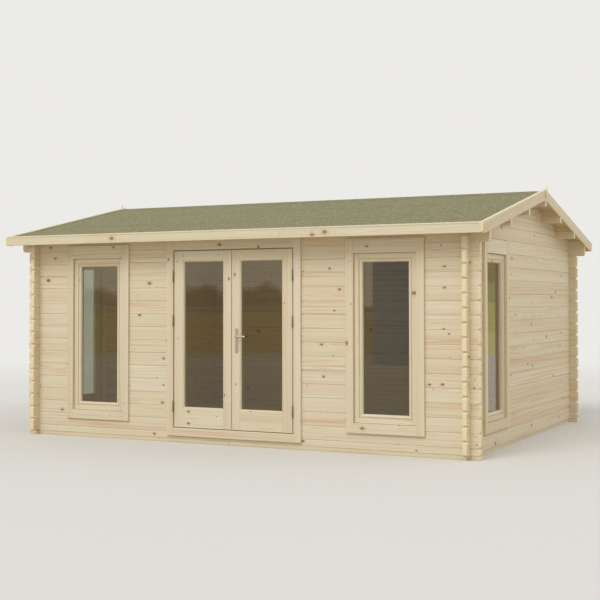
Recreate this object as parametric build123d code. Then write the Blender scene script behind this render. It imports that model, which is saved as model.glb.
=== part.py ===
from build123d import *
import math
import os

os.makedirs("parts", exist_ok=True)

# A small log cabin, in millimetres.
# X runs along the front, the front faces -Y and Z is up. The ground is Z = 0,
# and the origin lies under the middle of the cabin.

# Log walls
WALL_LENGTH = 4980.0  # outer face to outer face of the two gable walls
WALL_DEPTH = 3870.0  # outer face to outer face of the front and back walls
LOG_THICKNESS = 45.0
COURSE_HEIGHT = 135.0  # one log, joint to joint
LONG_WALL_COURSES = 14  # whole logs between the half log and the eaves log
LOG_EDGE_CHAMFER = 5.0  # two chamfers meet in the groove at each joint
LOG_END_OVERHANG = 100.0  # how far a log runs on past the wall that it crosses
END_BEVEL_DEPTH = 22.0
END_BEVEL_HEIGHT = 17.0

# Foundation and floor
BEARER_HEIGHT = 38.0
BEARER_WIDTH = 70.0
BEARER_RECESS = 4.0  # behind the face of the wall above
JOIST_WIDTH = 45.0
JOIST_COUNT = 8
FLOOR_THICKNESS = 19.0

# Roof
ROOF_PITCH = 12.2  # degrees
EAVES_LOG_HEIGHT = 181.0  # at the wall's outer face, under the roof boards
ROOF_BOARD_THICKNESS = 19.0
FELT_THICKNESS = 4.0
EAVES_OVERHANG = 266.0  # wall face to the front of the fascia
GABLE_OVERHANG = 192.0  # wall face to the back of the barge board
FASCIA_THICKNESS = 19.0
FASCIA_HEIGHT = 81.0  # at its face, under the strip
FASCIA_JOINT_FROM_CORNER = 1830.0
FASCIA_JOINT_GAP = 1.0
BARGE_THICKNESS = 20.0
BARGE_HEIGHT = 99.0  # measured plumb
STRIP_THICKNESS = 13.0  # strips that hold the edge of the felt down
STRIP_OVERHANG = 1.0
STRIP_LAP = 16.0  # over the edge of the felt
PURLIN_HEIGHT = 140.0
PURLIN_STATIONS = (1.0 / 3.0, 2.0 / 3.0)  # shares of the way from ridge to wall face
FINIAL_WIDTH = 26.0
FINIAL_THICKNESS = 16.0
FINIAL_RISE = 38.0  # above the strips at the ridge
FINIAL_DROP = 92.0  # below them
FINIAL_POINT = 30.0
EAVES_END_RADIUS = 30.0

# Windows: four alike, two in the front and one in each gable wall
WINDOW_HOLE_WIDTH = 713.0
WINDOW_SILL_RISE = 146.5  # from the foot of the whole logs up to the hole
WINDOW_HEAD_DROP = 47.5  # from the eaves log down to the hole
FRONT_WINDOW_PLACE = 0.527  # share of the way from the doorway to the gable wall's face
SIDE_WINDOW_SETBACK = 433.5  # front wall face to the hole
WINDOW_FRAME_WIDTH = 34.0
WINDOW_STOP_WIDTH = 14.0  # the stop behind the sash stands out from the frame
SASH_WIDTH = 86.0
SASH_THICKNESS = 50.0
SASH_RECESS = 2.0
SASH_GAP = 3.0
BEAD_WIDTH = 36.0  # stepped border around the glass, on sashes and leaves
BEAD_STEP = 5.0
WINDOW_GLASS_DEPTH = 34.0  # behind the face of the sash
GLASS_THICKNESS = 4.0
TRIM_WIDTH = 79.5
TRIM_LAP = 36.0  # how far the outer trims of a window stand in over its hole
TRIM_THICKNESS = 25.0
INNER_TRIM_THICKNESS = 15.0
CROSS_TRIM_HEIGHT = 95.0
WINDOW_HEAD_TRIM_HEIGHT = 138.0

# Double door
LEAF_WIDTH = 681.0
LEAF_THICKNESS = 55.0
LEAF_MEETING_GAP = 9.0  # the back corners of the leaves swing past it
LEAF_SIDE_GAP = 9.0
LEAF_HEAD_GAP = 7.0
LEAF_FOOT_GAP = 7.0
LEAF_RECESS = 4.0  # behind the face of the trims
HINGE_STILE = 121.0
MEETING_STILE = 101.0
LEAF_TOP_RAIL = 113.0
LEAF_BOTTOM_RAIL = 210.0
LEAF_GLASS_DEPTH = 22.0  # behind the face of the leaf
JAMB_THICKNESS = 30.0
HEAD_THICKNESS = 18.0
THRESHOLD_HEIGHT = 46.0
STOP_DEPTH = 18.0  # how far the stops stand in front of the jamb's face
STOP_CLEARANCE = 5.0  # between the back of a leaf and its stop
THRESHOLD_STOP = 10.0
DOOR_TRIM_FOOT = 30.0  # above the foundation bearers

# Hinges and lever handle
HINGE_HEIGHTS = (370.0, 1250.0, 1710.0)
HINGE_LENGTH = 120.0
HINGE_RADIUS = 6.5
HINGE_STANDOFF = 8.0  # axis in front of the trims' face
HINGE_SHANK_SIZE = 6.0
HINGE_SHANK_OFFSET = 6.0
HINGE_GAP = 0.6
HANDLE_HEIGHT = 1098.0
HANDLE_BACKSET = 54.0  # from the meeting edge of the leaf to the spindle
PLATE_WIDTH = 36.0
PLATE_LENGTH = 260.0
PLATE_THICKNESS = 5.0
PLATE_BELOW_SPINDLE = 168.0
SPINDLE_RADIUS = 5.0
SPINDLE_CLEARANCE = 1.0
LEVER_NECK_RADIUS = 9.0
LEVER_STANDOFF = 42.0
LEVER_LENGTH = 125.0
LEVER_DEPTH = 18.0
LEVER_THICKNESS = 11.0

# Sizes that follow from those above
GABLE_FACE = WALL_LENGTH / 2
FRONT_FACE = WALL_DEPTH / 2
SLOPE = math.tan(math.radians(ROOF_PITCH))
PLUMB = 1.0 / math.cos(math.radians(ROOF_PITCH))
QUARTER_COURSE = COURSE_HEIGHT / 4
LONG_WALL_FOOT = BEARER_HEIGHT + COURSE_HEIGHT / 2
LONG_WALL_TOP = LONG_WALL_FOOT + LONG_WALL_COURSES * COURSE_HEIGHT
SOFFIT_DROP = FELT_THICKNESS + ROOF_BOARD_THICKNESS
RIDGE_HEIGHT = LONG_WALL_TOP + EAVES_LOG_HEIGHT + FRONT_FACE * SLOPE + SOFFIT_DROP * PLUMB
GABLE_COURSES = math.ceil((RIDGE_HEIGHT - BEARER_HEIGHT) / COURSE_HEIGHT)
GABLE_JOINTS = [BEARER_HEIGHT + k * COURSE_HEIGHT for k in range(GABLE_COURSES + 1)]
LONG_JOINTS = [LONG_WALL_FOOT + k * COURSE_HEIGHT for k in range(LONG_WALL_COURSES + 1)]
EAVES_FACE = FRONT_FACE + EAVES_OVERHANG
STRIP_FACE = EAVES_FACE + STRIP_OVERHANG
BARGE_BACK = GABLE_FACE + GABLE_OVERHANG
BARGE_FACE = BARGE_BACK + BARGE_THICKNESS
PURLIN_Y = [share * FRONT_FACE for share in PURLIN_STATIONS]
REACH = 2 * GABLE_FACE  # longer than anything that it cuts
FLOOR_TOP = BEARER_HEIGHT + FLOOR_THICKNESS
BEARER_OUTER_Y = FRONT_FACE - BEARER_RECESS
BEARER_INNER_Y = BEARER_OUTER_Y - BEARER_WIDTH
BEARER_OUTER_X = GABLE_FACE - BEARER_RECESS

TRIM_FACE = -FRONT_FACE - TRIM_THICKNESS  # face of the trims on the front wall
FRAME_DEPTH = LOG_THICKNESS + INNER_TRIM_THICKNESS  # frames reach the face of the inner trims
FRAME_BACK = -FRONT_FACE + FRAME_DEPTH
WINDOW_HOLE_BOTTOM = LONG_WALL_FOOT + WINDOW_SILL_RISE
WINDOW_HOLE_TOP = LONG_WALL_TOP - WINDOW_HEAD_DROP
SIDE_WINDOW_Y = -FRONT_FACE + SIDE_WINDOW_SETBACK + WINDOW_HOLE_WIDTH / 2

DOOR_HALF = LEAF_WIDTH + LEAF_MEETING_GAP / 2
JAMB_INNER = DOOR_HALF + LEAF_SIDE_GAP
DOOR_HOLE_HALF = JAMB_INNER + JAMB_THICKNESS
FRONT_WINDOW_X = DOOR_HOLE_HALF + FRONT_WINDOW_PLACE * (GABLE_FACE - DOOR_HOLE_HALF)
HEAD_UNDERSIDE = LONG_WALL_TOP - HEAD_THICKNESS
THRESHOLD_TOP = LONG_WALL_FOOT + THRESHOLD_HEIGHT
LEAF_TOP = HEAD_UNDERSIDE - LEAF_HEAD_GAP
LEAF_BOTTOM = THRESHOLD_TOP + LEAF_FOOT_GAP
LEAF_FRONT = TRIM_FACE + LEAF_RECESS
LEAF_BACK = LEAF_FRONT + LEAF_THICKNESS
STOP_INNER = JAMB_INNER - STOP_DEPTH
STOP_Y = (LEAF_BACK + STOP_CLEARANCE, FRAME_BACK)
DOOR_TRIM_LOW = BEARER_HEIGHT + DOOR_TRIM_FOOT
DOOR_TRIM_HEAD = HEAD_UNDERSIDE + LEAF_HEAD_GAP / 2
DOOR_OUTSIDE = (TRIM_FACE, -FRONT_FACE)
DOOR_INSIDE = (-FRONT_FACE + LOG_THICKNESS, FRAME_BACK)
HINGE_X = DOOR_HALF + LEAF_SIDE_GAP / 2
HINGE_Y = TRIM_FACE - HINGE_STANDOFF
HANDLE_X = LEAF_MEETING_GAP / 2 + HANDLE_BACKSET


def block(x_span, y_span, z_span):
    """A box between two values on each axis."""
    (x0, x1), (y0, y1), (z0, z1) = x_span, y_span, z_span
    centre = Pos((x0 + x1) / 2, (y0 + y1) / 2, (z0 + z1) / 2)
    return centre * Box(abs(x1 - x0), abs(y1 - y0), abs(z1 - z0))


def run_along_x(outline, x_span):
    """A (y, z) outline drawn out along X."""
    face = make_face(Plane.YZ * Polyline(*outline, close=True))
    return Pos(x_span[0], 0, 0) * extrude(face, amount=x_span[1] - x_span[0], dir=(1, 0, 0))


def run_along_y(outline, y_span):
    """An (x, z) outline drawn out along Y."""
    face = make_face(Plane.XZ * Polyline(*outline, close=True))
    return Pos(0, y_span[0], 0) * extrude(face, amount=y_span[1] - y_span[0], dir=(0, 1, 0))


def both_sides(piece, plane):
    """The piece and its mirror image, as two solids of one node."""
    return Compound(children=[*piece.solids(), *mirror(piece, about=plane).solids()])


def felt_height(y, drop=0.0):
    """Height of a roof layer at y, given how deep it lies square to the slope."""
    return RIDGE_HEIGHT - abs(y) * SLOPE - drop * PLUMB


def above_soffit():
    """Everything above the underside of the roof boards."""
    low = felt_height(REACH, SOFFIT_DROP)
    outline = [(-REACH, low), (0, felt_height(0, SOFFIT_DROP)), (REACH, low)]
    outline += [(REACH, 2 * RIDGE_HEIGHT), (-REACH, 2 * RIDGE_HEIGHT)]
    return run_along_x(outline, (-REACH, REACH))


def log_outline(face, inward, joints):
    """Section of stacked logs, with a V groove at each joint on both faces."""
    c = LOG_EDGE_CHAMFER

    def side(at, towards):
        points = [(at + towards * c, joints[0])]
        for low, high in zip(joints, joints[1:]):
            points += [(at, low + c), (at, high - c), (at + towards * c, high)]
        return points

    outside = side(face, inward)
    inside = side(face + inward * LOG_THICKNESS, -inward)
    return outside + inside[::-1]


def end_bevels(joints, end, outward):
    """Outlines of the wedges that bevel the log ends, as (along, z) points."""
    wedges = []
    for z in joints:
        root = end - outward * END_BEVEL_DEPTH
        tip = end + outward * END_BEVEL_DEPTH
        rise = 2 * END_BEVEL_HEIGHT
        wedges.append([(root, z), (tip, z - rise), (tip, z + rise)])
    return wedges


def gable_cores(x_side):
    """Where the gable logs pass through a long wall, half a course high each."""
    cores = []
    for z in GABLE_JOINTS[:-1]:
        middle = z + COURSE_HEIGHT / 2
        if middle > LONG_WALL_TOP + QUARTER_COURSE:
            break
        z_span = (middle - QUARTER_COURSE, middle + QUARTER_COURSE)
        x_span = sorted((x_side * GABLE_FACE, x_side * (GABLE_FACE - LOG_THICKNESS)))
        cores.append(block(x_span, (-REACH, REACH), z_span))
    return cores


def long_wall_cores(y_side):
    """Where the long wall's logs pass through a gable wall."""
    y_span = sorted((y_side * FRONT_FACE, y_side * (FRONT_FACE - LOG_THICKNESS)))
    cores = [block((-REACH, REACH), y_span, (0, BEARER_HEIGHT + QUARTER_COURSE))]
    for z in LONG_JOINTS[:-1]:
        middle = z + COURSE_HEIGHT / 2
        cores.append(block((-REACH, REACH), y_span, (middle - QUARTER_COURSE, middle + QUARTER_COURSE)))
    cores.append(block((-REACH, REACH), y_span, (LONG_WALL_TOP + QUARTER_COURSE, RIDGE_HEIGHT)))
    return cores


def window_hole(along):
    """Span of a window hole along its wall and its span in height."""
    half = WINDOW_HOLE_WIDTH / 2
    return (along - half, along + half), (WINDOW_HOLE_BOTTOM, WINDOW_HOLE_TOP)


def long_wall(y_side, x_span, joints):
    """A stretch of the front or back wall; the ends that reach a corner are notched and bevelled."""
    wall = run_along_x(log_outline(y_side * FRONT_FACE, -y_side, joints), x_span)
    for end, outward in zip(x_span, (-1, 1)):
        if abs(end) > GABLE_FACE:
            cuts = gable_cores(outward)
            for wedge in end_bevels(joints, end, outward):
                cuts.append(run_along_y(wedge, (-REACH, REACH)))
            wall -= cuts
    return wall


def front_panel(side):
    """The front wall between a corner and the doorway, with its window hole."""
    corner = side * (GABLE_FACE + LOG_END_OVERHANG)
    x_span = sorted((corner, side * DOOR_HOLE_HALF))
    hole_x, hole_z = window_hole(side * FRONT_WINDOW_X)
    return long_wall(-1, x_span, LONG_JOINTS) - block(hole_x, (-REACH, 0), hole_z)


def base_log(y_side):
    """The half log that starts a long wall."""
    end = GABLE_FACE + LOG_END_OVERHANG
    return long_wall(y_side, (-end, end), [BEARER_HEIGHT, LONG_WALL_FOOT])


def back_wall():
    end = GABLE_FACE + LOG_END_OVERHANG
    return long_wall(1, (-end, end), [BEARER_HEIGHT] + LONG_JOINTS)


def eaves_log(y_side):
    """The top log of a long wall, which runs out to the barge boards under the roof."""
    outline = log_outline(y_side * FRONT_FACE, -y_side, [LONG_WALL_TOP, RIDGE_HEIGHT])
    log = run_along_x(outline, (-BARGE_BACK, BARGE_BACK))
    lower_corners = log.edges().filter_by(Axis.Y).group_by(Axis.Z)[0]
    log = fillet(lower_corners, EAVES_END_RADIUS)
    return log - [above_soffit(), *gable_cores(1), *gable_cores(-1)]


def purlin(y):
    """A roof purlin through both gable walls, cut to the roof, its ends notched under the barge boards."""
    half = LOG_THICKNESS / 2
    bottom = felt_height(y, SOFFIT_DROP) - PURLIN_HEIGHT
    beam = block((-BARGE_FACE, BARGE_FACE), (y - half, y + half), (bottom, RIDGE_HEIGHT))
    return beam - [above_soffit(), barge_boards(-1), barge_boards(1)]


def gable_wall(side):
    """A gable wall up to the roof, with pockets for the purlins and its window hole."""
    end = FRONT_FACE + LOG_END_OVERHANG
    wall = run_along_y(log_outline(side * GABLE_FACE, -side, GABLE_JOINTS), (-end, end))
    cuts = [above_soffit(), *long_wall_cores(-1), *long_wall_cores(1)]
    for outward in (-1, 1):
        for wedge in end_bevels(GABLE_JOINTS, outward * end, outward):
            cuts.append(run_along_x(wedge, (-REACH, REACH)))
    cuts += [purlin(y) for y in [0, *PURLIN_Y, *[-y for y in PURLIN_Y]]]
    hole_y, hole_z = window_hole(SIDE_WINDOW_Y)
    cuts.append(block((0, side * REACH), hole_y, hole_z))
    return wall - cuts


def roof_layer(side, top_drop, bottom_drop, eaves_y):
    """One slope of a roof layer, plumb at the ridge and at the eaves."""
    outline = [
        (0, felt_height(0, top_drop)),
        (side * eaves_y, felt_height(eaves_y, top_drop)),
        (side * eaves_y, felt_height(eaves_y, bottom_drop)),
        (0, felt_height(0, bottom_drop)),
    ]
    return run_along_x(outline, (-BARGE_BACK, BARGE_BACK))


FASCIA_FOOT = felt_height(EAVES_FACE) - FASCIA_HEIGHT


def fascia(side, joints):
    """Eaves board, its top cut to the roof; butt joints split it into lengths."""
    back = EAVES_FACE - FASCIA_THICKNESS
    outline = [
        (side * back, FASCIA_FOOT),
        (side * EAVES_FACE, FASCIA_FOOT),
        (side * EAVES_FACE, felt_height(EAVES_FACE)),
        (side * back, felt_height(back)),
    ]
    board = run_along_x(outline, (-BARGE_BACK, BARGE_BACK))
    gap = FASCIA_JOINT_GAP / 2
    return board - [block((x - gap, x + gap), (-REACH, REACH), (0, RIDGE_HEIGHT)) for x in joints]


def barge_boards(y_side):
    """Barge boards of one slope, mitred at the ridge, with the lower tips level with the fascia."""
    low_corner = (felt_height(0) - BARGE_HEIGHT - FASCIA_FOOT) / SLOPE
    outline = [
        (0, felt_height(0)),
        (y_side * EAVES_FACE, felt_height(EAVES_FACE)),
        (y_side * EAVES_FACE, FASCIA_FOOT),
        (y_side * low_corner, FASCIA_FOOT),
        (0, felt_height(0) - BARGE_HEIGHT),
    ]
    return both_sides(run_along_x(outline, (BARGE_BACK, BARGE_FACE)), Plane.YZ)


def edge_strip(y_side, y_inner, x_span):
    """A strip that lies on the felt of one slope."""
    rise = -STRIP_THICKNESS
    outline = [
        (y_side * y_inner, felt_height(y_inner)),
        (y_side * STRIP_FACE, felt_height(STRIP_FACE)),
        (y_side * STRIP_FACE, felt_height(STRIP_FACE, rise)),
        (y_side * y_inner, felt_height(y_inner, rise)),
    ]
    return run_along_x(outline, x_span)


def barge_strips(y_side):
    """Strips along the barge boards of one slope."""
    x_span = (BARGE_BACK - STRIP_LAP, BARGE_FACE + STRIP_OVERHANG)
    return both_sides(edge_strip(y_side, 0, x_span), Plane.YZ)


def eaves_strips():
    """Strips along the front and back fascia, between the barge strips."""
    end = BARGE_BACK - STRIP_LAP
    inner = EAVES_FACE - FASCIA_THICKNESS - STRIP_LAP
    return Compound(children=[edge_strip(side, inner, (-end, end)) for side in (-1, 1)])


def finials():
    """Pointed laths over the mitres of the barge boards."""
    half = FINIAL_WIDTH / 2
    ridge = RIDGE_HEIGHT + STRIP_THICKNESS * PLUMB
    top = ridge + FINIAL_RISE
    foot = ridge - FINIAL_DROP
    outline = [(0, top), (half, top - FINIAL_POINT), (half, foot), (-half, foot), (-half, top - FINIAL_POINT)]
    back = BARGE_FACE + STRIP_OVERHANG
    return both_sides(run_along_x(outline, (back, back + FINIAL_THICKNESS)), Plane.YZ)


def onto_wall(piece, wall):
    """Move a piece drawn at the front wall's face, centred on X = 0, to its window."""
    places = {
        "front_left": Pos(-FRONT_WINDOW_X, -FRONT_FACE, 0),
        "front_right": Pos(FRONT_WINDOW_X, -FRONT_FACE, 0),
        "left_side": Pos(-GABLE_FACE, SIDE_WINDOW_Y, 0) * Rot(0, 0, -90),
        "right_side": Pos(GABLE_FACE, SIDE_WINDOW_Y, 0) * Rot(0, 0, 90),
    }
    return places[wall] * piece


WINDOWS = ("front_left", "front_right", "left_side", "right_side")


def ring(outer, width, y_span):
    """A rectangular ring of one width inside an (x, z) rectangle."""
    outer_x, outer_z = outer
    inner_x, inner_z = inset_by(width, outer)
    return block(outer_x, y_span, outer_z) - block(inner_x, y_span, inner_z)


def inset_by(margin, rectangle):
    """The (x, z) rectangle made smaller by a margin on all four sides."""
    (x0, x1), (z0, z1) = rectangle
    return (x0 + margin, x1 - margin), (z0 + margin, z1 - margin)


WINDOW_HOLE = window_hole(0)
SASH_EDGE = inset_by(WINDOW_FRAME_WIDTH + SASH_GAP, WINDOW_HOLE)
WINDOW_GLASS = inset_by(SASH_WIDTH, SASH_EDGE)


def window_frame():
    """Outer frame through the wall, with its stop, and the sash that rests on the stop."""
    sash_back = SASH_RECESS + SASH_THICKNESS
    frame = ring(WINDOW_HOLE, WINDOW_FRAME_WIDTH, (0, FRAME_DEPTH))
    stop_width = WINDOW_FRAME_WIDTH + SASH_GAP + WINDOW_STOP_WIDTH
    frame += ring(WINDOW_HOLE, stop_width, (sash_back, FRAME_DEPTH))
    sash = ring(SASH_EDGE, SASH_WIDTH, (SASH_RECESS, sash_back))
    sash -= bead_step(WINDOW_GLASS, SASH_RECESS)
    return Compound(children=[*frame.solids(), *sash.solids()])


def bead_step(glass, face_y):
    """What is cut from the face around a glass opening to leave the stepped bead."""
    bead_x, bead_z = inset_by(-BEAD_WIDTH, glass)
    return block(bead_x, (face_y, face_y + BEAD_STEP), bead_z)


def window_pane():
    front = SASH_RECESS + WINDOW_GLASS_DEPTH
    glass_x, glass_z = WINDOW_GLASS
    return block(glass_x, (front, front + GLASS_THICKNESS), glass_z)


# Outside, the trims cover the frames; inside, they butt against them
OUTSIDE_TRIM = (-TRIM_THICKNESS, 0)
INSIDE_TRIM = (LOG_THICKNESS, LOG_THICKNESS + INNER_TRIM_THICKNESS)


def side_boards(opening, y_span):
    """A pair of upright boards beside an (x, z) opening, past it by a cross board at both ends."""
    (x0, x1), (z0, z1) = opening
    z_span = (z0 - CROSS_TRIM_HEIGHT, z1 + WINDOW_HEAD_TRIM_HEIGHT)
    return [block((x0 - TRIM_WIDTH, x0), y_span, z_span), block((x1, x1 + TRIM_WIDTH), y_span, z_span)]


def cross_boards(opening, y_span):
    """The boards over and under an (x, z) opening, between the upright ones."""
    (x0, x1), (z0, z1) = opening
    return [
        block((x0, x1), y_span, (z0 - CROSS_TRIM_HEIGHT, z0)),
        block((x0, x1), y_span, (z1, z1 + WINDOW_HEAD_TRIM_HEIGHT)),
    ]


TRIMMED = inset_by(TRIM_LAP, WINDOW_HOLE)


def window_side_trims():
    return side_boards(TRIMMED, OUTSIDE_TRIM) + side_boards(WINDOW_HOLE, INSIDE_TRIM)


def window_cross_trims():
    return cross_boards(TRIMMED, OUTSIDE_TRIM) + cross_boards(WINDOW_HOLE, INSIDE_TRIM)


def for_each_window(pieces):
    return Compound(children=[onto_wall(piece, wall) for wall in WINDOWS for piece in pieces])


def door_jamb(side):
    """Jamb with the stop that its leaf closes against."""
    jamb_x = (side * JAMB_INNER, side * DOOR_HOLE_HALF)
    stop_x = (side * JAMB_INNER, side * STOP_INNER)
    jamb = block(jamb_x, (-FRONT_FACE, FRAME_BACK), (LONG_WALL_FOOT, LONG_WALL_TOP))
    return jamb + block(stop_x, STOP_Y, (THRESHOLD_TOP, HEAD_UNDERSIDE))


def door_head():
    head = block((-JAMB_INNER, JAMB_INNER), (-FRONT_FACE, FRAME_BACK), (HEAD_UNDERSIDE, LONG_WALL_TOP))
    return head + block((-STOP_INNER, STOP_INNER), STOP_Y, (HEAD_UNDERSIDE - STOP_DEPTH, HEAD_UNDERSIDE))


def door_threshold():
    sill = block((-JAMB_INNER, JAMB_INNER), (-FRONT_FACE, FRAME_BACK), (LONG_WALL_FOOT, THRESHOLD_TOP))
    return sill + block((-STOP_INNER, STOP_INNER), STOP_Y, (THRESHOLD_TOP, THRESHOLD_TOP + THRESHOLD_STOP))


def door_side_trims():
    """Upright door trims, a pair outside and a pair inside."""
    boards = []
    for inner, y_span, z_span in (
        (JAMB_INNER, DOOR_OUTSIDE, (DOOR_TRIM_LOW, DOOR_TRIM_HEAD + CROSS_TRIM_HEIGHT)),
        (DOOR_HOLE_HALF, DOOR_INSIDE, (FLOOR_TOP, LONG_WALL_TOP + CROSS_TRIM_HEIGHT)),
    ):
        board = block((inner, inner + TRIM_WIDTH), y_span, z_span)
        boards += [board, mirror(board, about=Plane.YZ)]
    return Compound(children=boards)


def door_cross_trims():
    """Head trims outside and inside, and the boards under the threshold on both sides."""
    outer = (-JAMB_INNER, JAMB_INNER)
    inner = (-DOOR_HOLE_HALF, DOOR_HOLE_HALF)
    return Compound(
        children=[
            block(outer, DOOR_OUTSIDE, (DOOR_TRIM_HEAD, DOOR_TRIM_HEAD + CROSS_TRIM_HEIGHT)),
            block(outer, DOOR_OUTSIDE, (DOOR_TRIM_LOW, THRESHOLD_TOP)),
            block(inner, DOOR_INSIDE, (LONG_WALL_TOP, LONG_WALL_TOP + CROSS_TRIM_HEIGHT)),
            block(inner, DOOR_INSIDE, (FLOOR_TOP, LONG_WALL_FOOT)),
        ]
    )


def spindle_bore(y_span):
    """A bore along Y at the handle's spindle."""
    bore = Rot(90, 0, 0) * Cylinder(SPINDLE_RADIUS + SPINDLE_CLEARANCE, y_span[1] - y_span[0])
    return Pos(HANDLE_X, sum(y_span) / 2, HANDLE_HEIGHT) * bore


LEAF_EDGE = ((LEAF_MEETING_GAP / 2, DOOR_HALF), (LEAF_BOTTOM, LEAF_TOP))
LEAF_GLASS = (
    (LEAF_MEETING_GAP / 2 + MEETING_STILE, DOOR_HALF - HINGE_STILE),
    (LEAF_BOTTOM + LEAF_BOTTOM_RAIL, LEAF_TOP - LEAF_TOP_RAIL),
)


def right_leaf():
    """Stiles and rails around one tall glass opening."""
    edge_x, edge_z = LEAF_EDGE
    glass_x, glass_z = LEAF_GLASS
    y_span = (LEAF_FRONT, LEAF_BACK)
    leaf = block(edge_x, y_span, edge_z) - block(glass_x, y_span, glass_z)
    return leaf - bead_step(LEAF_GLASS, LEAF_FRONT)


def right_leaf_pane():
    front = LEAF_FRONT + LEAF_GLASS_DEPTH
    glass_x, glass_z = LEAF_GLASS
    return block(glass_x, (front, front + GLASS_THICKNESS), glass_z)


def hinge_half(z_span, shank_offset, face_y):
    """A twelve-sided barrel, and the shank beside its axis that reaches the wood behind it."""
    middle = sum(z_span) / 2
    barrel = extrude(RegularPolygon(HINGE_RADIUS, 12), amount=z_span[1] - z_span[0])
    barrel = Pos(HINGE_X, HINGE_Y, z_span[0]) * barrel
    half = HINGE_SHANK_SIZE / 2
    x = HINGE_X + shank_offset
    return barrel + block((x - half, x + half), (HINGE_Y, face_y), (middle - half, middle + half))


def leaf_hinges():
    """Upper halves of the right leaf's hinges."""
    halves = []
    for z in HINGE_HEIGHTS:
        z_span = (z + HINGE_GAP / 2, z + HINGE_LENGTH / 2)
        halves.append(hinge_half(z_span, -HINGE_SHANK_OFFSET, LEAF_FRONT))
    return Compound(children=halves)


def frame_hinges():
    """Lower halves of the right leaf's hinges, which stand on the side trim."""
    halves = []
    for z in HINGE_HEIGHTS:
        z_span = (z - HINGE_LENGTH / 2, z - HINGE_GAP / 2)
        halves.append(hinge_half(z_span, HINGE_SHANK_OFFSET, TRIM_FACE))
    return Compound(children=halves)


def handle_plate(y_span):
    """Long plate with round ends on one face of the right leaf."""
    centre_z = HANDLE_HEIGHT + PLATE_LENGTH / 2 - PLATE_BELOW_SPINDLE
    outline = Rot(0, 0, 90) * SlotOverall(PLATE_LENGTH, PLATE_WIDTH)
    plate = extrude(Plane.XZ * outline, amount=y_span[0] - y_span[1])
    plate = Pos(HANDLE_X, y_span[0], centre_z) * plate
    return plate - spindle_bore(y_span)


def handle_plates():
    outside = handle_plate((LEAF_FRONT - PLATE_THICKNESS, LEAF_FRONT))
    inside = handle_plate((LEAF_BACK, LEAF_BACK + PLATE_THICKNESS))
    return Compound(children=[outside, inside])


def lever_handle():
    """Two levers on one spindle."""
    face = LEAF_FRONT - PLATE_THICKNESS - SPINDLE_CLEARANCE
    back = LEAF_BACK + PLATE_THICKNESS + SPINDLE_CLEARANCE
    half = (back - face) / 2
    spindle = Rot(90, 0, 0) * Cylinder(SPINDLE_RADIUS, back - face + 2 * SPINDLE_CLEARANCE)
    neck_length = LEVER_STANDOFF - SPINDLE_CLEARANCE
    neck = Rot(90, 0, 0) * Cylinder(LEVER_NECK_RADIUS, neck_length)
    grip_outline = Pos((LEVER_LENGTH - LEVER_DEPTH) / 2, 0) * SlotOverall(LEVER_LENGTH, LEVER_DEPTH)
    grip = extrude(Plane.XZ * grip_outline, amount=LEVER_THICKNESS)
    lever = Pos(0, -half - neck_length / 2, 0) * neck
    lever += Pos(0, -half - neck_length + LEVER_THICKNESS, 0) * grip
    handle = spindle + lever + mirror(lever, about=Plane.XZ)
    return Pos(HANDLE_X, (face + back) / 2, HANDLE_HEIGHT) * handle


def long_bearers():
    """Foundation bearers under the front and back walls, out to the log ends."""
    end = GABLE_FACE + LOG_END_OVERHANG - BEARER_RECESS
    bearer = block((-end, end), (-BEARER_OUTER_Y, -BEARER_INNER_Y), (0, BEARER_HEIGHT))
    return both_sides(bearer, Plane.XZ)


def floor_joists():
    """Bearers across the cabin; the end ones lie under the gable walls."""
    first = BEARER_OUTER_X - BEARER_WIDTH / 2
    joists = []
    for k in range(JOIST_COUNT):
        x = -first + 2 * first * k / (JOIST_COUNT - 1)
        half = (BEARER_WIDTH if k in (0, JOIST_COUNT - 1) else JOIST_WIDTH) / 2
        joists.append(block((x - half, x + half), (-BEARER_INNER_Y, BEARER_INNER_Y), (0, BEARER_HEIGHT)))
    return Compound(children=joists)


def floor():
    x = GABLE_FACE - LOG_THICKNESS
    y = FRONT_FACE - LOG_THICKNESS
    return block((-x, x), (-y, y), (BEARER_HEIGHT, FLOOR_TOP))


def save(name, piece):
    export_step(piece, f"parts/{name}.step")


save("long_bearers", long_bearers())
save("floor_joists", floor_joists())
save("floor", floor())

save("front_base_log", base_log(-1))
save("front_wall_left", front_panel(-1))
save("front_wall_right", front_panel(1))
save("back_wall", back_wall())
save("left_gable_wall", gable_wall(-1))
save("right_gable_wall", gable_wall(1))
save("front_eaves_log", eaves_log(-1))
save("back_eaves_log", eaves_log(1))
save("ridge_purlin", purlin(0))
save("side_purlins", Compound(children=[purlin(side * y) for side in (-1, 1) for y in PURLIN_Y]))

for name, side in (("front", -1), ("back", 1)):
    save(f"{name}_roof_boards", roof_layer(side, FELT_THICKNESS, SOFFIT_DROP, EAVES_FACE - FASCIA_THICKNESS))
    save(f"{name}_roof_felt", roof_layer(side, 0, FELT_THICKNESS, EAVES_FACE - FASCIA_THICKNESS))
    save(f"{name}_barge_boards", barge_boards(side))
    save(f"{name}_barge_strips", barge_strips(side))
save("front_fascia", fascia(-1, [GABLE_FACE - FASCIA_JOINT_FROM_CORNER]))
save("back_fascia", fascia(1, [FASCIA_JOINT_FROM_CORNER - GABLE_FACE]))
save("eaves_strips", eaves_strips())
save("finials", finials())

for wall in WINDOWS:
    save(f"{wall}_window", onto_wall(window_frame(), wall))
save("window_panes", for_each_window([window_pane()]))
save("window_side_trims", for_each_window(window_side_trims()))
save("window_cross_trims", for_each_window(window_cross_trims()))

save("door_jambs", Compound(children=[door_jamb(-1), door_jamb(1)]))
save("door_head", door_head())
save("door_threshold", door_threshold())
save("door_side_trims", door_side_trims())
save("door_cross_trims", door_cross_trims())
save("frame_hinges", both_sides(frame_hinges(), Plane.YZ))

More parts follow.
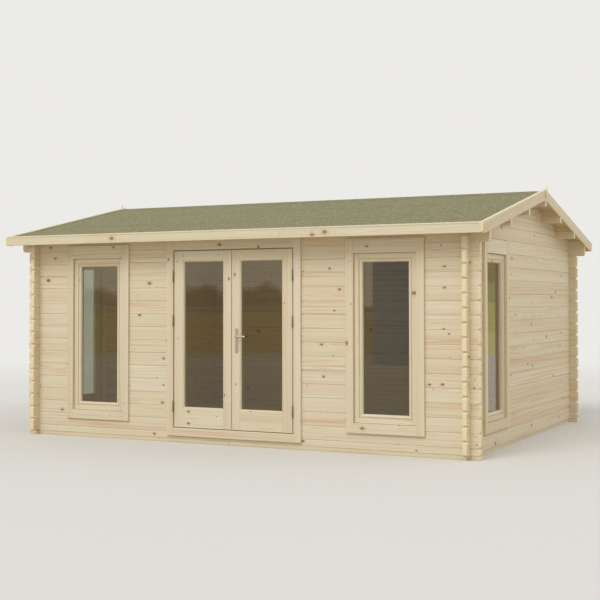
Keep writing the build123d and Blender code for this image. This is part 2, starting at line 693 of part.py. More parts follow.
save("left_leaf", mirror(right_leaf(), about=Plane.YZ))
save("right_leaf", right_leaf() - spindle_bore((LEAF_FRONT, LEAF_BACK)))
save("left_leaf_glass", mirror(right_leaf_pane(), about=Plane.YZ))
save("right_leaf_glass", right_leaf_pane())
save("left_leaf_hinges", mirror(leaf_hinges(), about=Plane.YZ))
save("right_leaf_hinges", leaf_hinges())
save("handle_plates", handle_plates())
save("lever_handle", lever_handle())
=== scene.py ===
"""A log cabin, dressed piece by piece around its CAD solids. Metres, front towards -Y, Z up."""
import math

import bpy
import numpy as np
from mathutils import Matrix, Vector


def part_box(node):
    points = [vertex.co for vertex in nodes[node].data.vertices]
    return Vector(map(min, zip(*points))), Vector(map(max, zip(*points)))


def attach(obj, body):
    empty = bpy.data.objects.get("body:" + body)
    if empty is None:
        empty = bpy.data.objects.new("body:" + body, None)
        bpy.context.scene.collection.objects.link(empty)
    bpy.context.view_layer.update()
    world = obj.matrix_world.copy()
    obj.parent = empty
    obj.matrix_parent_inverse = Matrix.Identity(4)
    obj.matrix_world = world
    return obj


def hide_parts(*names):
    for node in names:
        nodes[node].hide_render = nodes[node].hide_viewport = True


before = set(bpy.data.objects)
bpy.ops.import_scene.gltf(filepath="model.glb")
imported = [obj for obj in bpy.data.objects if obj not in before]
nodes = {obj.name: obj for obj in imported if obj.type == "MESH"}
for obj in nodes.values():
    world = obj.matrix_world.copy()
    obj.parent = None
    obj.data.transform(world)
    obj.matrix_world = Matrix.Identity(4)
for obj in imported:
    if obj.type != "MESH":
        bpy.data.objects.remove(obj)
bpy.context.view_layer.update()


# Studio: a pale floor that fades into a pale background, even light from all round, one
# broad lamp high in front on the left, a weaker one on the right, and a weak warm lamp in
# the room. Glowing cards, and floor and sky colours that only glass and metal see, paint
# reflections into the panes. The camera stands to the right of the cabin's right corner,
# at eye height.
class Shade:
    """A value in a material's node tree. Sums of it and of numbers add Math nodes."""

    def __init__(self, tree, socket=None):
        self.tree = tree
        self.socket = socket

    def add(self, kind, settings=None, inputs=None, out=0):
        """Any node: its settings first, then the values or links of its sockets."""
        node = self.tree.nodes.new(kind)
        for name, value in (settings or {}).items():
            setattr(node, name, value)
        for key, value in (inputs or {}).items():
            if isinstance(value, Shade):
                self.tree.links.new(value.socket, node.inputs[key])
            else:
                node.inputs[key].default_value = value
        return Shade(self.tree, node.outputs[out]) if len(node.outputs) else None

    def other(self, out):
        """Another output of the same node."""
        return Shade(self.tree, self.socket.node.outputs[out])

    def math(self, operation, *values):
        return self.add("ShaderNodeMath", {"operation": operation}, dict(enumerate(values)))

    def __add__(self, other):
        return self.math("ADD", self, other)

    __radd__ = __add__

    def __sub__(self, other):
        return self.math("SUBTRACT", self, other)

    def __mul__(self, other):
        return self.math("MULTIPLY", self, other)

    def __truediv__(self, other):
        return self.math("DIVIDE", self, other)

    def __pow__(self, other):
        return self.math("POWER", self, other)

    def ramp(self, low, high):
        """Smooth step from 0 at low to 1 at high; low may be the larger one."""
        values = {"Value": self, "From Min": low, "From Max": high}
        return self.add("ShaderNodeMapRange", {"interpolation_type": "SMOOTHSTEP"}, values)

    def mix(self, first, second):
        """First colour where this value is 0, second where it is 1."""
        return self.add("ShaderNodeMix", {"data_type": "RGBA"}, {0: self, 6: first, 7: second}, 2)

    def parts(self):
        """The three numbers of a vector."""
        split = self.add("ShaderNodeSeparateXYZ", inputs={0: self})
        return split, split.other(1), split.other(2)

    def point(self, x, y, z):
        return self.add("ShaderNodeCombineXYZ", inputs={0: x, 1: y, 2: z})

    def noise(self, x, y, z, detail=2.0, roughness=0.5):
        """Cloudy noise, 0 to 1, at coordinates counted in its own grains."""
        values = {"Scale": 1.0, "Detail": detail, "Roughness": roughness}
        return self.add("ShaderNodeTexNoise", inputs={"Vector": self.point(x, y, z), **values})

    def surface(self, kind, inputs):
        """The surface of the material: a shader of this kind."""
        shader = self.add(kind, inputs=inputs)
        self.add("ShaderNodeOutputMaterial", inputs={"Surface": shader})


def new_material(name):
    """A material with no nodes yet, and the value from which its nodes are added."""
    material = bpy.data.materials.new(name)
    material.use_nodes = True
    material.node_tree.nodes.clear()
    return material, Shade(material.node_tree)


def srgb(red, green, blue):
    """Linear RGBA of a colour given as it looks on a screen, 0 to 255."""
    values = [level / 255.0 for level in (red, green, blue)]
    return (*[v / 12.92 if v <= 0.04045 else ((v + 0.055) / 1.055) ** 2.4 for v in values], 1.0)


def grid_quads(rows, columns, closed=False):
    """Faces of a grid whose point in row v and column u has the index v * columns + u. In
    a closed grid the last column is joined to the first."""
    n = columns
    v, u = np.meshgrid(np.arange(rows - 1), np.arange(n if closed else n - 1), indexing="ij")
    after = (u + 1) % n
    corners = [v * n + u, v * n + after, (v + 1) * n + after, (v + 1) * n + u]
    return np.stack(corners, -1).reshape(-1, 4).tolist()


def linked(name, data):
    """An object that shows these data, in the scene."""
    item = bpy.data.objects.new(name, data)
    bpy.context.scene.collection.objects.link(item)
    return item


def mesh_object(name, points, faces, material):
    mesh = bpy.data.meshes.new(name)
    mesh.from_pydata(points.tolist(), [], faces)
    mesh.materials.append(material)
    return linked(name, mesh)


BACKDROP = srgb(236, 235, 231)
FLOOR_COLOUR = srgb(222, 220, 214)
FLOOR_BOUNCE = srgb(183, 172, 146)
FLOOR_REACH, FLOOR_LINES = 400.0, 9
FADE = (7.0, 17.0)
# Painted reflection: colours that glass and metal see in the floor and the sky.
NEAR_MIRRORED, HIGH_MIRRORED = srgb(206, 194, 180), srgb(255, 240, 220)
# Further colours of that painted reflection in the floor, each with the distances
# over which it sets in.
MIRRORED_BANDS = (
    (srgb(196, 170, 126), 19.0, 25.0), (srgb(150, 138, 124), 120.0, 200.0),
    (HIGH_MIRRORED, 230.0, FLOOR_REACH),
)


def make_floor():
    """A flat grid, x and y from -FLOOR_REACH to FLOOR_REACH, z = 0. It lights the cabin
    from below a little warmer than it looks, and glass and metal see it glow in bands,
    near, middle and far: a painted reflection, so that the panes show some depth."""
    steps = np.linspace(-FLOOR_REACH, FLOOR_REACH, FLOOR_LINES)
    x, y = np.meshgrid(steps, steps)
    points = np.stack([x.ravel(), y.ravel(), np.zeros(x.size)], 1)
    material, start = new_material("studio_floor")
    x, y, _ = start.add("ShaderNodeTexCoord", out="Object").parts()
    away = (x * x + y * y) ** 0.5
    path = start.add("ShaderNodeLightPath", out="Is Camera Ray")
    matt = start.add("ShaderNodeBsdfDiffuse", inputs={"Color": FLOOR_COLOUR})
    warm = start.add("ShaderNodeBsdfDiffuse", inputs={"Color": FLOOR_BOUNCE})
    matt = start.add("ShaderNodeMixShader", inputs={0: path, 1: warm, 2: matt})
    glow = start.add("ShaderNodeEmission", inputs={"Color": BACKDROP})
    seen = start.add("ShaderNodeMixShader", inputs={0: away.ramp(*FADE), 1: matt, 2: glow})
    # Painted reflection: glass and metal see the floor glow in these bands.
    mirrored = NEAR_MIRRORED
    for colour, low, high in MIRRORED_BANDS:
        mirrored = away.ramp(low, high).mix(mirrored, colour)
    mirrored = start.add("ShaderNodeEmission", inputs={"Color": mirrored})
    in_mirrors = path.other("Is Glossy Ray")
    start.surface("ShaderNodeMixShader", {0: in_mirrors, 1: seen, 2: mirrored})
    plane = mesh_object("studio_floor", points, grid_quads(FLOOR_LINES, FLOOR_LINES), material)


def make_reflection_card(name, x, y, foot, top, colour):
    """An upright card at y that glows only for glass and metal: a painted reflection, so that
    the panes show something. Its grid has two rows: points (x, foot) and (x, top)."""
    n = len(x)
    heights = np.concatenate([np.full(n, foot), np.broadcast_to(top, n)])
    points = np.column_stack([np.tile(x, 2), np.full(2 * n, y), heights])
    material, start = new_material(name)
    start.surface("ShaderNodeEmission", {"Color": colour})
    card = mesh_object(name, points, grid_quads(2, n), material)
    for ray in ("camera", "diffuse", "transmission", "volume_scatter", "shadow"):
        setattr(card, f"visible_{ray}", False)


def make_sky():
    """Even light all round. The camera sees the backdrop's colour instead, also through
    glass, and glass and metal mirror a warmer one, a painted reflection."""
    world = bpy.data.worlds.new("studio_sky")
    world.use_nodes = True
    world.node_tree.nodes.clear()
    start = Shade(world.node_tree)
    path = start.add("ShaderNodeLightPath", out="Is Camera Ray")
    seen = path.math("MAXIMUM", path, path.other("Is Transmission Ray"))
    light, shown, mirrored = [
        start.add("ShaderNodeBackground", inputs={"Color": colour, "Strength": strength})
        for colour, strength in ((SKY_COLOUR, SKY_STRENGTH), (BACKDROP, 1.0), (HIGH_MIRRORED, 1.0))
    ]
    mixed = start.add("ShaderNodeMixShader", inputs={0: seen, 1: light, 2: shown})
    # Painted reflection: glass and metal see a warmer sky than the light it gives.
    values = {0: path.other("Is Glossy Ray"), 1: mixed, 2: mirrored}
    mixed = start.add("ShaderNodeMixShader", inputs=values)
    start.add("ShaderNodeOutputWorld", inputs={"Surface": mixed})
    bpy.context.scene.world = world


SKY_COLOUR, SKY_STRENGTH = (0.97, 0.98, 1.0, 1.0), 0.70
SUN_COLOUR = (1.0, 0.98, 0.95)
# Each sun's name and energy, and its spread and its turns about x and z in degrees.
SUNS = (("studio_sun", 1.24, 34, 47, -12), ("studio_fill", 0.42, 40, 55, 105))
LAMP_ENERGY, LAMP_RADIUS = 9.2, 0.35
LAMP_COLOUR = (1.0, 0.84, 0.62)
LAMP_PLACE = (-1.0, 0.05, 1.7)
# Glowing cards that only glass and metal see: painted reflections in the panes.
FRONT_CARD_Y, SIDE_CARD_Y = -9.0, 2.6
DARK_CARDS, DARK_FOOT, DARK_CREST = 7, 1.36, 1.60
# Bands of painted reflection for the side window: foot, top and colour of each.
SIDE_REFLECTION_BANDS = (
    (0.02, 0.745, srgb(246, 229, 214)), (0.745, 1.036, srgb(254, 235, 165)),
    (1.036, 1.432, srgb(238, 221, 147)), (1.432, 1.696, srgb(208, 198, 137)),
    (1.696, 2.60, srgb(188, 171, 124)),
)

make_floor()
make_reflection_card("grey_reflection_card", [-1.47, -0.2], FRONT_CARD_Y, 0.43, 2.6, srgb(150, 158, 174))
# The dark cards paint a dark band of reflection into the panes. The crest of the dark
# cards is a sum of three waves. Each card stands a little higher and further back than
# the one before it, and is a little paler, so that the crest is soft.
wave = np.linspace(-7.8, -3.0, 49)
crest = DARK_CREST + 0.05 * np.sin(wave * 5.0) + 0.04 * np.sin(wave * 11.0 + 1.0)
crest = crest + 0.02 * np.sin(wave * 31.0)
for k in range(DARK_CARDS):
    colour = srgb(158 + 12 * k, 138 + 12 * k, 116 + 12 * k)
    card_y = FRONT_CARD_Y - 0.01 * k
    make_reflection_card(f"dark_reflection_card_{k}", wave, card_y, DARK_FOOT, crest + 0.018 * k, colour)
for k, (foot, top, colour) in enumerate(SIDE_REFLECTION_BANDS):
    make_reflection_card(f"side_reflection_card_{k}", [3.2, 5.2], SIDE_CARD_Y, foot, top, colour)
make_sky()
for name, energy, spread, tilt, turn in SUNS:
    sun = bpy.data.lights.new(name, "SUN")
    sun.energy, sun.angle, sun.color = energy, math.radians(spread), SUN_COLOUR
    linked(name, sun).rotation_euler = (math.radians(tilt), 0.0, math.radians(turn))
lamp = bpy.data.lights.new("room_lamp", "POINT")
lamp.energy, lamp.shadow_soft_size, lamp.color = LAMP_ENERGY, LAMP_RADIUS, LAMP_COLOUR
lamp_object = linked("room_lamp", lamp)
lamp_object.location = LAMP_PLACE
lamp_object.visible_glossy = False

lens = bpy.data.cameras.new("camera")
lens.sensor_width, lens.lens, lens.shift_y = 36.0, 69.84, -0.0433
camera = linked("camera", lens)
camera.location = (5.829, -12.165, 1.446)
camera.rotation_euler = [math.radians(angle) for angle in (91.37, 0.05, 26.37)]
bpy.context.scene.camera = camera
bpy.context.scene.view_settings.view_transform = "Standard"


# Log walls: planed pine logs 45 by 135 mm, stacked with a V groove at each joint. They
# cross at the corners, where each log's end stands out and is bevelled top and bottom.
# Each log has its own grain, cut from its own place in the tree.
KNOTS_ALONG, KNOTS_ACROSS = 2.4, 7.5  # places where a knot may be, per metre
YEAR = 0.0046


def pine(name, light, warm, late, knot_share, streaks, slot=None):
    """Solid wood: growth rings about a pith that wanders, with knots that push them aside.

    Attribute grain holds (along, across, depth) from the pith in metres, tone tells boards
    apart, end is 1 on sawn ends, and knot holds the place and the size of one knot.
    radius = |(across, depth)| + wander + knot bulge; each YEAR of radius is one year, pale
    at first and brown at its end. The result is a slot and its material."""
    material, start = new_material(name)

    def attribute(label, out):
        return start.add("ShaderNodeAttribute", {"attribute_name": label}, out=out)

    x, y, z = attribute("grain", "Vector").parts()
    tone, end = attribute("tone", "Fac"), attribute("end", "Fac")

    places = start.point(x * KNOTS_ALONG, y * KNOTS_ACROSS, 0.0)
    values = {"Vector": places, "Scale": 1.0, "Randomness": 0.95}
    cell = start.add("ShaderNodeTexVoronoi", {"voronoi_dimensions": "2D"}, values, "Position")
    knot_x, knot_y, _ = cell.parts()
    pick, size_draw, dark_draw = cell.other("Color").parts()
    there = pick.ramp(1.0 - knot_share, 1.02 - knot_share)
    size = (0.0035 + size_draw * size_draw * 0.0105) * there
    set_x, set_y, set_size = attribute("knot", "Vector").parts()
    rough_edge = (start.noise(x * 90, y * 90, z * 90, 1.0) - 0.5) * 0.004

    def from_knot(knot_x, knot_y, size):
        across, up = knot_x - x, knot_y - y
        return ((across * across * 0.45 + up * up) ** 0.5 + rough_edge) / (size + 0.0002)

    drawn = from_knot(knot_x / KNOTS_ALONG, knot_y / KNOTS_ACROSS, size)
    chosen = from_knot(set_x, set_y, set_size)
    size = size + drawn.math("GREATER_THAN", drawn, chosen) * (set_size - size)
    away = drawn.math("MINIMUM", drawn, chosen)
    bulge = away.math("EXPONENT", away * away * -0.17) * size
    knot = away.ramp(1.12, 0.90)
    rim = knot * away.ramp(0.62, 0.98)
    halo = away.ramp(3.2, 0.9)

    wander = start.noise(x * 0.8, y * 6, z * 6, 2.0) - 0.5
    radius = (y * y + z * z) ** 0.5 + wander * 0.014 + bulge * 1.2
    year = (radius / YEAR).math("FRACT", radius / YEAR)
    late_wood = year.ramp(0.45, 0.96) * year.ramp(1.0, 0.97)
    band = start.noise(radius * 95, x * 0.12, tone * 40, 2.0, 0.6)
    streak = start.noise(x * 0.55, y * 75, z * 75, 3.0, 0.55)
    fibre = start.noise(x * 14, y * 1100, z * 1100, 1.0)
    heart = (radius + (tone - 0.5) * 0.05).ramp(0.058, 0.030)

    streaked = streak.ramp(0.50, 0.70) * streaks * (tone * tone * 1.9 + 0.3)
    warmth = heart * 0.22 + streaked + tone.math("FRACT", tone * 7.3) * 0.20
    brown = late_wood * 0.27 + band.ramp(0.5, 0.85) * 0.32 + (fibre - 0.5) * 0.16
    brown = brown + (streak - 0.5) * 0.25
    colour = (tone.math("FRACT", tone * 3.7) * 0.6).mix(srgb(*light), srgb(230, 226, 196))
    colour = warmth.mix(colour, srgb(*warm))
    colour = (brown + 0.02).mix(colour, srgb(*late))
    colour = (halo * 0.38).mix(colour, srgb(208, 172, 130))
    heartwood = dark_draw.mix(srgb(156, 122, 82), srgb(104, 84, 56))
    colour = (knot * 0.85).mix(colour, heartwood)
    colour = (rim * 0.50).mix(colour, srgb(92, 74, 50))
    ring_end = (late_wood * 0.36 + band * 0.12).mix(srgb(249, 235, 196), srgb(216, 186, 136))
    colour = (end * 0.85).mix(colour, ring_end)

    relief = fibre * 0.35 - late_wood * 0.25 - rim * 0.8 + streak * 0.3
    bump = {"Strength": 0.35, "Distance": 0.0006, "Height": relief}
    start.surface("ShaderNodeBsdfPrincipled", {
        "Base Color": colour,
        "Roughness": 0.60 + (streak - 0.5) * 0.16 - knot * 0.12,
        "Specular IOR Level": 0.32,
        "Normal": start.add("ShaderNodeBump", inputs=bump),
    })
    return slot or name, material


def eased_section(across, depth, radius, steps=2, sides=1):
    """Closed outline of a board's cut end, as (across, depth) points about its middle.

    Each corner is an arc of the radius, in so many steps; each long side between two
    arcs is cut into so many parts, so that an end can follow a slope."""
    outline = []
    for turn, corner in enumerate(((1, 1), (-1, 1), (-1, -1), (1, -1))):
        arc = np.linspace(0, np.pi / 2, steps + 1) + turn * np.pi / 2
        centre = np.array(corner) * (across / 2 - radius, depth / 2 - radius)
        points = centre + radius * np.column_stack([np.cos(arc), np.sin(arc)])
        if turn in (1, 3) and sides > 1:
            share = np.linspace(0, 1, sides + 1)[1:-1, None]
            outline.append(outline[-1][-1] * (1 - share) + points[0] * share)
        outline.append(points)
    return np.concatenate(outline)


def skin_faces(rings, n):
    """Faces of a closed surface of rings of n points, its first and last ring filled in."""
    ends = [list(range(n))[::-1], list(range((rings - 1) * n, rings * n))]
    return grid_quads(rings, n, True) + ends


class Skins:
    """Closed surfaces that make one piece."""

    def __init__(self):
        self.points, self.faces, self.count = [], [], 0

    def take(self, points, faces, inside_out=False):
        """One more surface. If it is inside out, its faces are turned."""
        step = -1 if inside_out else 1
        self.faces += [[index + self.count for index in face[::step]] for face in faces]
        self.points.append(points)
        self.count += len(points)

    def build(self, name, finish, replaced, body="cabin"):
        """The finished piece. It rides on its body and stands for the CAD nodes named. Its
        finish is a slot and a material; the slot is not used."""
        slot, material = finish
        piece = mesh_object(name, np.concatenate(self.points), self.faces, material)
        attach(piece, body)
        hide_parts(*replaced)
        return piece.data


GRAIN = np.random.default_rng(2197)
NO_KNOT = (0, 9, 0)


class Timbers(Skins):
    """Lengths of timber that make one piece, each with its own grain."""

    def __init__(self):
        super().__init__()
        self.grain, self.tone, self.end, self.knot = [], [], [], []
        self.turn, self.origin = np.eye(3), np.zeros(3)

    def lay(self, section, start, stop, at, along, across, depth, ease=(0.0015,) * 3,
            same=False, knot=NO_KNOT):
        """One length. Its surface is a grid: section points u, and four rings v at start,
        start + ease, stop - ease and stop, where start and stop may differ from point to
        point. The two outer rings are drawn in towards the middle of the section and
        filled in, by a ladder of quads if the section is symmetric in depth. The same
        timber goes on in a length that is laid with same. A knot is set at so far along
        and across, with its radius."""
        n = len(section)
        start, stop = (np.broadcast_to(np.asarray(cut, float), (n,)) for cut in (start, stop))
        length, *in_sides = ease
        small = section * (1 - np.array(in_sides) / np.abs(section).max(0))
        rings = [(start, small), (start + length, section), (stop - length, section), (stop, small)]
        local = np.concatenate([np.column_stack(ring) for ring in rings])
        axes = np.array([along, across, depth], float)
        world = (np.asarray(at, float) + local @ axes) @ self.turn.T + self.origin
        faces = skin_faces(4, n)
        if n % 2 == 0 and np.allclose(section[:, 1], -section[::-1, 1]):
            i = np.arange(n // 2 - 1)
            ladder = np.stack([i, i + 1, n - 2 - i, n - 1 - i], -1)
            faces[-2:] = ladder[:, ::-1].tolist() + (ladder + 3 * n).tolist()
        self.take(world, faces, np.linalg.det(axes @ self.turn.T) < 0)
        if not same:
            off_across = GRAIN.uniform(-0.07, 0.07)
            off_depth = GRAIN.choice([-1, 1]) * GRAIN.uniform(0.018, 0.075)
            pith = np.array([-GRAIN.uniform(0, 60), off_across, off_depth])
            self.log = (pith, GRAIN.normal(0, 0.006, 2), GRAIN.uniform())
        pith, tilt, tone = self.log
        grain = local - pith
        grain[:, 1:] += local[:, :1] * tilt
        self.grain.append(grain)
        self.tone.append(np.full(4 * n, tone))
        self.end.append(np.repeat([1.0, 0.0, 0.0, 1.0], n))
        place = (knot[0] - pith[0], knot[1] - pith[1] + knot[0] * tilt[0], knot[2])
        self.knot.append(np.tile(place, (4 * n, 1)))

    def board(self, x_span, y_span, z_span, run, ease=0.0015, steps=1, knot=None):
        """A board that fills a box, its grain along axis 0, 1 or 2. A knot is given by its
        place along the three axes and its radius."""
        spans = np.sort(np.array([x_span, y_span, z_span], float), 1)
        size = spans[:, 1] - spans[:, 0]
        a, b = sorted((axis for axis in range(3) if axis != run), key=lambda axis: -size[axis])
        section = eased_section(size[a], size[b], ease, steps)
        at = spans.mean(1)
        at[run] = 0.0
        axes = np.eye(3)
        place = NO_KNOT if knot is None else (knot[run], knot[a] - at[a], knot[3])
        self.lay(section, *spans[run], at, axes[run], axes[a], axes[b], (ease,) * 3, knot=place)

    def build(self, name, finish, replaced, body="cabin"):
        """The finished piece, with what its material reads at each point."""
        mesh = super().build(name, finish, replaced, body)
        for label, kind, field, values in (
            ("grain", "FLOAT_VECTOR", "vector", self.grain),
            ("knot", "FLOAT_VECTOR", "vector", self.knot),
            ("tone", "FLOAT", "value", self.tone),
            ("end", "FLOAT", "value", self.end),
        ):
            attribute = mesh.attributes.new(label, kind, "POINT")
            attribute.data.foreach_set(field, np.concatenate(values).ravel().astype(np.float32))


LOG_FINISH = pine("pine_log", (237, 228, 205), (221, 186, 149), (190, 161, 122), 0.27, 0.46)
RIGHT, BACK, UP = (1, 0, 0), (0, 1, 0), (0, 0, 1)
COURSE, LOG_DEPTH = 0.135, 0.045
LOG_FOOT, HALF_LOG_TOP = 0.038, 0.1055
LONG_COURSES, GABLE_COURSES = 14, 18
GROOVE = 0.0065
END_BEVEL = (0.022, 0.017, 0.002)
FRONT_FACE, GABLE_FACE = -1.935, 2.490
LOG_REACH = 0.100
WINDOW_HALF = 0.3565
WINDOW_FOOT, WINDOW_HEAD = 0.252, 1.948
FRONT_WINDOW_X, SIDE_WINDOW_Y = 1.655, -1.145
THINNEST = 0.004  # a thinner rest of a log under or over a window is not laid
PITCH = math.radians(12.2)
SLOPE, COS, SIN = math.tan(PITCH), math.cos(PITCH), math.sin(PITCH)
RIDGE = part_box("front_roof_felt")[1].z
ROOF_DEPTH = 0.023
SOFFIT_PEAK = RIDGE - ROOF_DEPTH / COS


def roof_width(z):
    """Half of the cabin's width under the roof boards at height z."""
    return (SOFFIT_PEAK - np.asarray(z)) / SLOPE


def spans_beside(low, high, foot, head, hole):
    """What is left of a log from low to high beside a hole, and above and below it."""
    if hole is None or head <= WINDOW_FOOT or foot >= WINDOW_HEAD:
        return [(low, high, foot, head)]
    left, right = hole
    pieces = [(low, left, foot, head), (right, high, foot, head)]
    if foot < WINDOW_FOOT - THINNEST:
        pieces.append((left, right, foot, WINDOW_FOOT))
    if head > WINDOW_HEAD + THINNEST:
        pieces.append((left, right, WINDOW_HEAD, head))
    return pieces


def log_wall(walls, joints, spread, at, along, depth, window=None, knots=()):
    """Stacked logs: one length for each pair of joints, cut beside the window's hole and
    where the roof's underside passes. Knots are set by (along, height, radius)."""
    hole = None if window is None else (window - WINDOW_HALF, window + WINDOW_HALF)
    for foot, head in zip(joints, joints[1:]):
        for low, high, z0, z1 in spans_beside(*spread, foot, head, hole):
            section = eased_section(z1 - z0, LOG_DEPTH, min(GROOVE, (z1 - z0) / 3), 2, 4)
            middle = (z0 + z1) / 2
            limit = roof_width(section[:, 0] + middle)
            shorter = GRAIN.uniform(0, 0.003, 2)
            start = np.maximum(low + shorter[0] * (low == spread[0]), -limit)
            stop = np.minimum(high - shorter[1] * (high == spread[1]), limit)
            out = GRAIN.uniform(-0.0005, 0.0003)
            place = np.asarray(at) + np.array([0, 0, middle]) + np.asarray(depth) * out
            own = [(x, z - middle, r) for x, z, r in knots if z0 < z < z1 and low < x < high]
            knot = own[0] if own else NO_KNOT
            walls.lay(section, start, stop, place, along, UP, depth, END_BEVEL, knot=knot)


long_joints = HALF_LOG_TOP + COURSE * np.arange(LONG_COURSES + 1)
gable_joints = np.append(LOG_FOOT + COURSE * np.arange(GABLE_COURSES + 1), SOFFIT_PEAK - 0.012)
log_end = GABLE_FACE + LOG_REACH
front_axis = FRONT_FACE + LOG_DEPTH / 2
doorway_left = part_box("front_wall_left")[1].x
doorway_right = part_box("front_wall_right")[0].x
front_line = ((0, front_axis, 0), RIGHT, (0, -1, 0))

front = Timbers()
knots = (
    (-1.003, 1.64, 0.014), (-0.827, 0.858, 0.010), (-0.839, 0.401, 0.011),
    (-2.327, 1.683, 0.015), (-2.232, 1.923, 0.010),
)
log_wall(front, long_joints, (-log_end, doorway_left), *front_line, -FRONT_WINDOW_X, knots)
knots = (
    (0.99, 1.032, 0.010), (1.183, 1.565, 0.010), (1.011, 0.722, 0.009), (1.077, 1.769, 0.008),
    (2.249, 1.772, 0.009), (2.248, 1.577, 0.009), (2.225, 0.682, 0.010), (1.129, 1.362, 0.008),
)
log_wall(front, long_joints, (doorway_right, log_end), *front_line, FRONT_WINDOW_X, knots)
log_wall(front, [LOG_FOOT, HALF_LOG_TOP], (-log_end, log_end), *front_line)
front.build("front_logs", LOG_FINISH, ("front_wall_left", "front_wall_right", "front_base_log"))

back = Timbers()
back_joints = [LOG_FOOT, *long_joints]
log_wall(back, back_joints, (-log_end, log_end), (0, -front_axis, 0), RIGHT, BACK)
back.build("back_logs", LOG_FINISH, ("back_wall",))

gable_end = -FRONT_FACE + LOG_REACH
GABLE_KNOTS = (
    (0.815, 1.054, 0.014), (1.237, 1.563, 0.013), (0.215, 0.758, 0.012), (1.142, 1.494, 0.011),
    (-0.433, 1.314, 0.010), (0.184, 1.20, 0.011), (-1.155, 0.068, 0.013),
)
for name, side, knots in (("left", -1, ()), ("right", 1, GABLE_KNOTS)):
    gable = Timbers()
    line = ((side * (GABLE_FACE - LOG_DEPTH / 2), 0, 0), BACK, (side, 0, 0))
    log_wall(gable, gable_joints, (-gable_end, gable_end), *line, SIDE_WINDOW_Y, knots)
    gable.build(f"{name}_gable_logs", LOG_FINISH, (f"{name}_gable_wall",))


# Foundation bearers and floor joists: pine timbers on the ground, which the bottom logs
# stand on. They are laid like the logs, each a length of its own.
BEARER_FINISH = pine("bearer_pine", (236, 224, 196), (220, 192, 158), (190, 164, 126), 0.30, 0.36)
BEARER_WIDE, JOIST_WIDE, JOISTS = 0.070, 0.045, 8
bearers = Timbers()
low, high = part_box("long_bearers")
for side in (-1, 1):
    y_span = (side * low.y, side * (low.y + BEARER_WIDE))
    bearers.board((low.x, high.x), y_span, (low.z, high.z), 0, 0.003)
low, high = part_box("floor_joists")
middles = np.linspace(low.x + BEARER_WIDE / 2, high.x - BEARER_WIDE / 2, JOISTS)
for k, middle in enumerate(middles):
    half = (BEARER_WIDE if k in (0, JOISTS - 1) else JOIST_WIDE) / 2
    bearers.board((middle - half, middle + half), (low.y, high.y), (low.z, high.z), 1, 0.002)
bearers.build("bearers_and_joists", BEARER_FINISH, ("long_bearers", "floor_joists"))


# Top logs and purlins: planed pine that carries the roof and runs out to the barge
# boards. The top logs of the long walls have rounded lower corners at their ends.
barge_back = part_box("front_eaves_log")[1].x
barge_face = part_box("ridge_purlin")[1].x
EAVES_ROUND = 0.030
PURLIN_HEIGHT, PURLIN_EASE = 0.140, 0.002
PURLIN_PLACES = (0.0, 0.645, 1.29, -0.645, -1.29)
BARGE_HEIGHT = 0.099
eaves_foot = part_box("front_eaves_log")[0].z
eaves_height = float(SOFFIT_PEAK + FRONT_FACE * SLOPE) - eaves_foot

beams = Timbers()
for side in (-1, 1):
    section = eased_section(eaves_height, LOG_DEPTH, 0.003, 1, 14)
    above = section[:, 0] + eaves_height / 2
    low = np.clip(above, 0, EAVES_ROUND)
    drawn_in = EAVES_ROUND - np.sqrt(np.maximum(EAVES_ROUND**2 - (EAVES_ROUND - low) ** 2, 0))
    section[:, 0] += above / eaves_height * (LOG_DEPTH / 2 - section[:, 1]) * SLOPE
    reach = barge_back - drawn_in
    place = (0, side * -front_axis, eaves_foot + eaves_height / 2)
    beams.lay(section, -reach, reach, place, RIGHT, UP, (0, side, 0), (0.002, 0.001, 0.001))


def purlin_section(y, drop, foot):
    """Outline of a purlin at y as (z, across) points: its top lies so far under the line
    of the felt, the lower corners are eased, and at the ridge the top is peaked."""
    half, ease = LOG_DEPTH / 2, PURLIN_EASE
    left, right = [(RIDGE - drop - abs(y + d) * SLOPE, d) for d in (half, -half)]
    outline = [left, (foot + ease, half), (foot, half - ease)]
    outline += [(foot, ease - half), (foot + ease, -half), right]
    return np.array(outline + [(RIDGE - drop, 0.0)] * (y == 0))


for y in PURLIN_PLACES:
    foot = SOFFIT_PEAK - abs(y) * SLOPE - PURLIN_HEIGHT
    middle = foot + PURLIN_HEIGHT / 2
    place = (0, y, middle)
    section = purlin_section(y, ROOF_DEPTH / COS, foot) - [middle, 0]
    beams.lay(section, -barge_back, barge_back, place, RIGHT, UP, BACK, (0.0, 0.0, 0.0))
    section = purlin_section(y, BARGE_HEIGHT, foot) - [middle, 0]
    for span in ((-barge_face, -barge_back), (barge_back, barge_face)):
        beams.lay(section, *span, place, RIGHT, UP, BACK, (0.001, 0.001, 0.001), True)
beam_nodes = ("front_eaves_log", "back_eaves_log", "ridge_purlin", "side_purlins")
beams.build("top_logs_and_purlins", LOG_FINISH, beam_nodes)


# Roof boards: pine boards 96 mm wide from ridge to eaves, with a V joint between them
# underneath, where they show under the eaves and the gables.
BOARD_FINISH = pine("planed_pine", (235, 226, 202), (221, 190, 156), (196, 169, 132), 0.20, 0.34)
BOARD_COUNT, BOARD_GAP, BOARD_DEPTH = 56, 0.0004, 0.019
FASCIA_BACK = 2.182


def down_slope(side):
    """Unit vectors down a slope and square to it."""
    return np.array([0, side * COS, -SIN]), np.array([0, side * SIN, COS])


